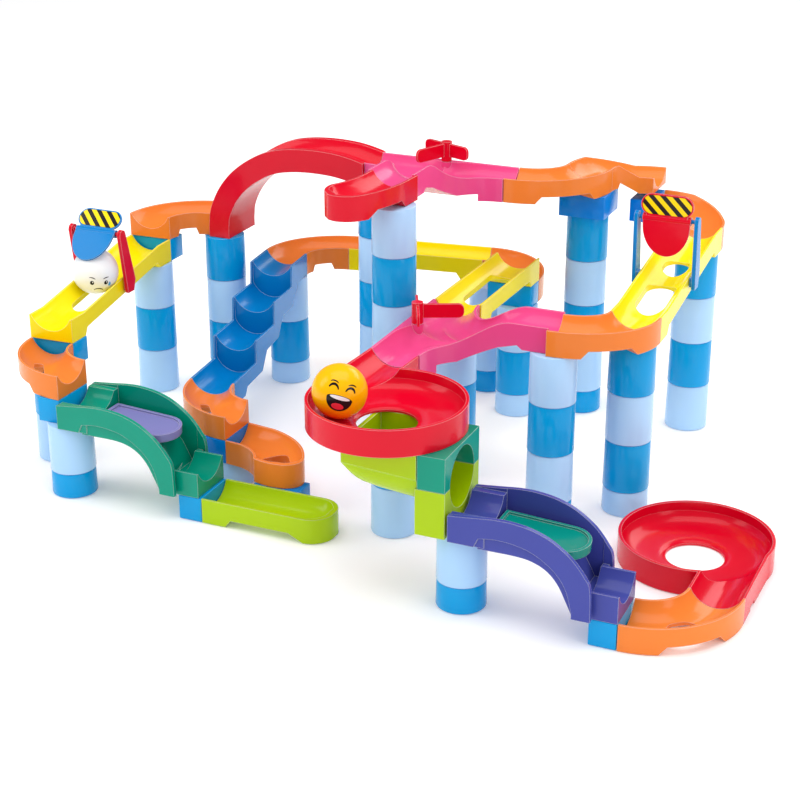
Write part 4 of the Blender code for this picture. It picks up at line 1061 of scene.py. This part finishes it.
def build_middle_route():
    junction("junction_low", -193.5, -42, 0, 6, 76.0, JUNCTION_HUB_LOW)
    diverter("diverter_low", -203.5, -42, 7, 295)
    slide = track("slide_two", (-192, 34.3, 90, 6), (-190, 202, 90, 6), "yellow")
    cut(slide, oval_cutter("slide_two_oval", (84, 0), 96, 25, -10, 18))
    track("curve_rear", (-190, 202, 90, 5), (-250, 266.5, 188.4, 5), "orange")
    track("straight_rear", (-250, 266.5, 188.4, 5), (-405, 243.6, 188.4, 5), "yellow")
    track("curve_stairs_top", (-405, 243.6, 188.4, 5), (-462, 181, 276.1, 5), "orange")
    stairs("stairs", (-462, 181, 276, 5), (-439, -35, 276, 2))
    foot = track("curve_stairs_foot", (-439, -35, 276, 2), (-380, -90, 360, 2), "orange")
    cut(foot, oval_cutter("curve_stairs_foot_slot", (44, 12), 34, 9, -10, 18, 32))
    closed_track("cup_end", (-380, -90, 0, 1), (-309, -144.8, -86, 1), "orange", 14.0,
                 slot=((57.0, -24.0), 34.0, 25.0, -55.0), raised=False)
    block("block_cup", -333, -145.5, BLOCK_LONG, BLOCK_SHORT - GAP, 0, "blue")


def build_left_route():
    track("curve_tl", (-530.3, 157, 180, 7), (-589, 98, 272, 7), "orange")
    slide = track("slide_left", (-589, 98, 272, 6), (-581, -112, 272, 5), "yellow")
    cut(slide, oval_cutter("slide_left_oval", (128, 0), 60, 22, -40, 14))
    curve = track("curve_left", (-581, -112, 272, 4), (-519, -169, 360, 4), "orange")
    cut(curve, oval_cutter("curve_left_slot", (44, 12), 34, 9, -10, 18, 35))
    small_slide("slide_green", -515, -171, 0, 1, "green")
    tongue("tongue_lilac", -515, -171, 0, 1, "lilac")
    block("half_block_ground_l", -387.2, -196, BLOCK_SHORT - GAP, BLOCK_LONG, 0, "cyan_blue")
    closed_track("trough_lime", (-362, -171, 0, 0), (-232, -171, 0, 0), "lime", 22.0,
                 slot=((64.0, -3.0), 50.0, 8.0, 0.0))


def build_right_route():
    dish("dish_high", -193.5, -119.6, 267, 6, 1)
    catch_ramp("ramp_lime", -80, -231, 3)
    tunnel_top("tunnel_green", -80, -231, 3)
    small_slide("slide_purple", -77, -238, 0, 1, "violet")
    tongue("tongue_green", -77, -238, 0, 1, "teal")
    block("half_block_ground_r", 47.8, -263, BLOCK_SHORT - GAP, BLOCK_LONG, 0, "cyan_blue")
    curve = track("curve_br", (73.2, -238, 0, 0), (135, -177, 90, 0), "orange")
    cut(curve, oval_cutter("curve_br_hole", (46, 14), 30, 22, -10, 18, 42))
    dish("dish_low", 135, -176.8, 90, 0, 1)


def build_gates_and_balls():
    for name, x, y, rod_z, foot_z, shift, swing, flap_length, frame_colour, flap_colour in GATES:
        gate_frame(name + "_frame", x, y, rod_z, foot_z, shift, frame_colour)
        gate_flap(name + "_flap", x, y, rod_z, swing, flap_colour, flap_length)
    ball("ball_yellow", -193.0, -236.4, 180.3, "ball_yellow")
    ball("ball_white", -584.6, -20.5, 171.4, "white")


def build_columns():
    for index, row in enumerate(COLUMNS):
        column(f"column_{index + 1:02d}", *row)


def bake():
    """Turn every modifier into mesh and drop the cutters."""
    graph = bpy.context.evaluated_depsgraph_get()
    for item in list(PARTS.objects):
        if item.modifiers:
            mesh = bpy.data.meshes.new_from_object(item.evaluated_get(graph))
            item.modifiers.clear()
            item.data = mesh
        mesh = item.data
        mesh.shade_smooth()
        mesh.set_sharp_from_angle(angle=math.radians(32))
    for tool in list(TOOLS.objects):
        bpy.data.objects.remove(tool, do_unlink=True)


# ---------------------------------------------------------------- faces and stickers
def camera_frame():
    """The camera's right, up and backward directions."""
    turn = CAMERA_TURN.to_matrix()
    return turn @ Vector((1, 0, 0)), turn @ Vector((0, 1, 0)), turn @ Vector((0, 0, 1))


def face_frame(right_share, up_share, tilt):
    """Directions of a face on a ball: its right, its up and where it looks."""
    right, up, back = camera_frame()
    depth = math.sqrt(max(0.05, 1 - right_share ** 2 - up_share ** 2))
    ahead = (right * right_share + up * up_share + back * depth).normalized()
    side = up.cross(ahead).normalized()
    top = ahead.cross(side).normalized()
    angle = math.radians(tilt)
    return (side * math.cos(angle) + top * math.sin(angle),
            top * math.cos(angle) - side * math.sin(angle), ahead)


def print_patch(name, ball_name, axes, rings, colour, lift, closed=True):
    """Thin printed patch that follows the ball. Rings are lists of (right, up) shares."""
    ball_object = bpy.data.objects["look_" + ball_name]
    bm = bmesh.new()
    rows = []
    for ring in rings:
        row = []
        for u, v in ring:
            way = (axes[0] * u + axes[1] * v
                   + axes[2] * math.sqrt(max(0.02, 1 - u * u - v * v))).normalized()
            row.append(bm.verts.new(way * (BALL_RADIUS + lift) * MM))
        rows.append(row)
    count = len(rows[0])
    for first, second in zip(rows, rows[1:]):
        for i in range(count if closed else count - 1):
            j = (i + 1) % count
            bm.faces.new((first[i], first[j], second[j], second[i]))
    if closed:
        bm.faces.new(rows[0])
    bmesh.ops.recalc_face_normals(bm, faces=bm.faces)
    mesh = bpy.data.meshes.new(name)
    bm.to_mesh(mesh)
    bm.free()
    item = add_object(name, mesh, colour)
    item.location = ball_object.location
    STANDS_FOR[item.name] = (None, ball_name)
    return item


def ellipse(angle):
    return math.cos(angle), math.sin(angle)


def spot(name, ball_name, axes, centre, size, colour, lift=0.12, outline=ellipse):
    """Printed spot: an ellipse, or any outline given as a function of the angle."""
    rings = []
    for share in (0.08, 0.3, 0.5, 0.7, 0.85, 1.0):
        ring = []
        for i in range(40):
            u, v = outline(2 * math.pi * i / 40)
            ring.append((centre[0] + size[0] * u * share, centre[1] + size[1] * v * share))
        rings.append(ring)
    return print_patch(name, ball_name, axes, rings, colour, lift)


def stroke(name, ball_name, axes, centre, radius, start, end, width, colour, lift=0.12):
    """Printed arc of even width."""
    rings = []
    for side in (-0.5, 0.0, 0.5):
        ring = []
        for i in range(25):
            share = i / 24
            angle = math.radians(start + (end - start) * share)
            thin = width * side * (0.45 + 0.55 * math.sin(math.pi * share))
            ring.append((centre[0] + (radius[0] + thin) * math.cos(angle),
                         centre[1] + (radius[1] + thin) * math.sin(angle)))
        rings.append(ring)
    return print_patch(name, ball_name, axes, rings, colour, lift, closed=False)


def laughing(angle):
    """Open mouth: flat above, round below."""
    u, v = math.cos(angle), math.sin(angle)
    return u, (0.28 * v if v > 0 else v)


def drop(angle):
    """Tear: a round belly with a point at the top."""
    u, v = math.cos(angle), math.sin(angle)
    return u * (1.0 - 0.18 * (1 + v) ** 2), v * (1.35 if v > 0 else 1.0)


def build_faces():
    glad = face_frame(0.06, -0.20, -16)
    for side in (-1, 1):
        stroke(f"ball_yellow_eye_{side + 1}", "ball_yellow", glad, (0.30 * side, 0.16), (0.17, 0.20),
               165, 15, 0.085, "ink")
        stroke(f"ball_yellow_brow_{side + 1}", "ball_yellow", glad, (0.32 * side, 0.36), (0.16, 0.11),
               150, 30, 0.045, "ink")
    spot("ball_yellow_mouth", "ball_yellow", glad, (0.0, -0.10), (0.46, 0.46), "ink", 0.12, laughing)
    spot("ball_yellow_teeth", "ball_yellow", glad, (0.0, -0.06), (0.36, 0.07), "white", 0.2)
    spot("ball_yellow_tongue", "ball_yellow", glad, (0.0, -0.38), (0.22, 0.12), "tongue", 0.2)
    sad = face_frame(0.30, -0.60, 4)
    for side in (-1, 1):
        spot(f"ball_white_eye_{side + 1}", "ball_white", sad, (0.30 * side, 0.02), (0.085, 0.10), "ink")
        spot(f"ball_white_glint_{side + 1}", "ball_white", sad, (0.30 * side + 0.025, 0.05),
             (0.025, 0.03), "white", 0.2)
        stroke(f"ball_white_brow_{side + 1}", "ball_white", sad, (0.34 * side, 0.10), (0.22, 0.16),
               90 + 50 * side, 90 - 20 * side, 0.04, "ink")
    stroke("ball_white_mouth", "ball_white", sad, (0.0, -0.42), (0.20, 0.15), 160, 20, 0.055, "ink")
    spot("ball_white_tear", "ball_white", sad, (0.47, -0.10), (0.07, 0.10), "tear", 0.14, drop)


def sticker(name, flap, x, y, hinge_z, swing):
    """Striped printed sheet on the face of a flap's upper plate."""
    radius = EAR_RADIUS - STICKER_INSET
    outline = mirrored(arc(EAR_CENTRE, (radius, radius), -90, 90, 24))
    item = flat_prism(name, outline, STICKER_FACE, STICKER_FACE + STICKER_THICK, axis="Y", colour="sticker")
    item.data.materials.clear()
    item.data.materials.append(striped("sticker", PALETTE["sticker"], PALETTE["ink"], STRIPE))
    place(item, x, y, hinge_z)
    item.rotation_euler = (math.radians(swing), 0, 0)
    STANDS_FOR[item.name] = (None, flap)


# ---------------------------------------------------------------- studio
def soft_box(name, place_at, aim, size, power):
    light = bpy.data.lights.new(name, "AREA")
    light.shape = "RECTANGLE"
    light.size, light.size_y = size
    light.energy = power
    lamp = bpy.data.objects.new(name, light)
    bpy.context.scene.collection.objects.link(lamp)
    lamp.location = place_at
    lamp.rotation_euler = (Vector(aim) - Vector(place_at)).to_track_quat("-Z", "Y").to_euler()


def build_floor():
    """Even white floor, just under the feet."""
    bm = bmesh.new()
    bmesh.ops.create_grid(bm, x_segments=8, y_segments=8, size=FLOOR_SIZE)
    mesh = bpy.data.meshes.new("floor")
    bm.to_mesh(mesh)
    bm.free()
    floor = bpy.data.objects.new("floor", mesh)
    floor.location.z = -0.0006
    bpy.context.scene.collection.objects.link(floor)
    material = bpy.data.materials.new("floor_sheet")
    material.use_nodes = True
    shader = material.node_tree.nodes["Principled BSDF"]
    for key, value in (("Base Color", (0.96, 0.96, 0.96, 1.0)), ("Roughness", 0.6),
                       ("Specular IOR Level", 0.0), ("Emission Color", (1.0, 1.0, 1.0, 1.0)),
                       ("Emission Strength", FLOOR_GLOW)):
        shader.inputs[key].default_value = value
    mesh.materials.append(material)


def build_studio():
    """White surroundings, dimmer in reflections so that the plastics keep their colour, and soft boxes."""
    build_floor()
    world = bpy.data.worlds.new("studio")
    world.use_nodes = True
    tree = world.node_tree
    back = tree.nodes["Background"]
    back.inputs["Color"].default_value = (1.0, 1.0, 1.0, 1.0)
    ray = tree.nodes.new("ShaderNodeLightPath")
    share = add_span(tree, ray.outputs["Is Glossy Ray"], To_Min=SKY_LIGHT, To_Max=SKY_IN_GLOSS)
    tree.links.new(share, back.inputs["Strength"])
    bpy.context.scene.world = world
    bpy.context.scene.view_settings.view_transform = "Standard"
    for light in LIGHTS:
        soft_box(*light)


def build_camera():
    data = bpy.data.cameras.new("camera")
    data.lens = CAMERA_LENS
    data.sensor_width = 36.0
    data.clip_start = 0.05
    camera = bpy.data.objects.new("camera", data)
    bpy.context.scene.collection.objects.link(camera)
    camera.location = CAMERA_AT
    camera.rotation_euler = CAMERA_TURN
    bpy.context.scene.camera = camera


def hand_over():
    for item in PARTS.objects:
        cad, body = STANDS_FOR[item.name]
        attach(item, body)
        if cad:
            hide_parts(cad)


def main():
    for build in (build_top_route, build_middle_route, build_left_route, build_right_route,
                  build_gates_and_balls, build_columns):
        build()
        bake()
    build_faces()
    for name, x, y, rod_z, _, _, swing, *_ in GATES:
        sticker(name + "_sticker", name + "_flap", x, y, rod_z, swing)
    bake()
    build_camera()
    build_studio()
    hand_over()


main()
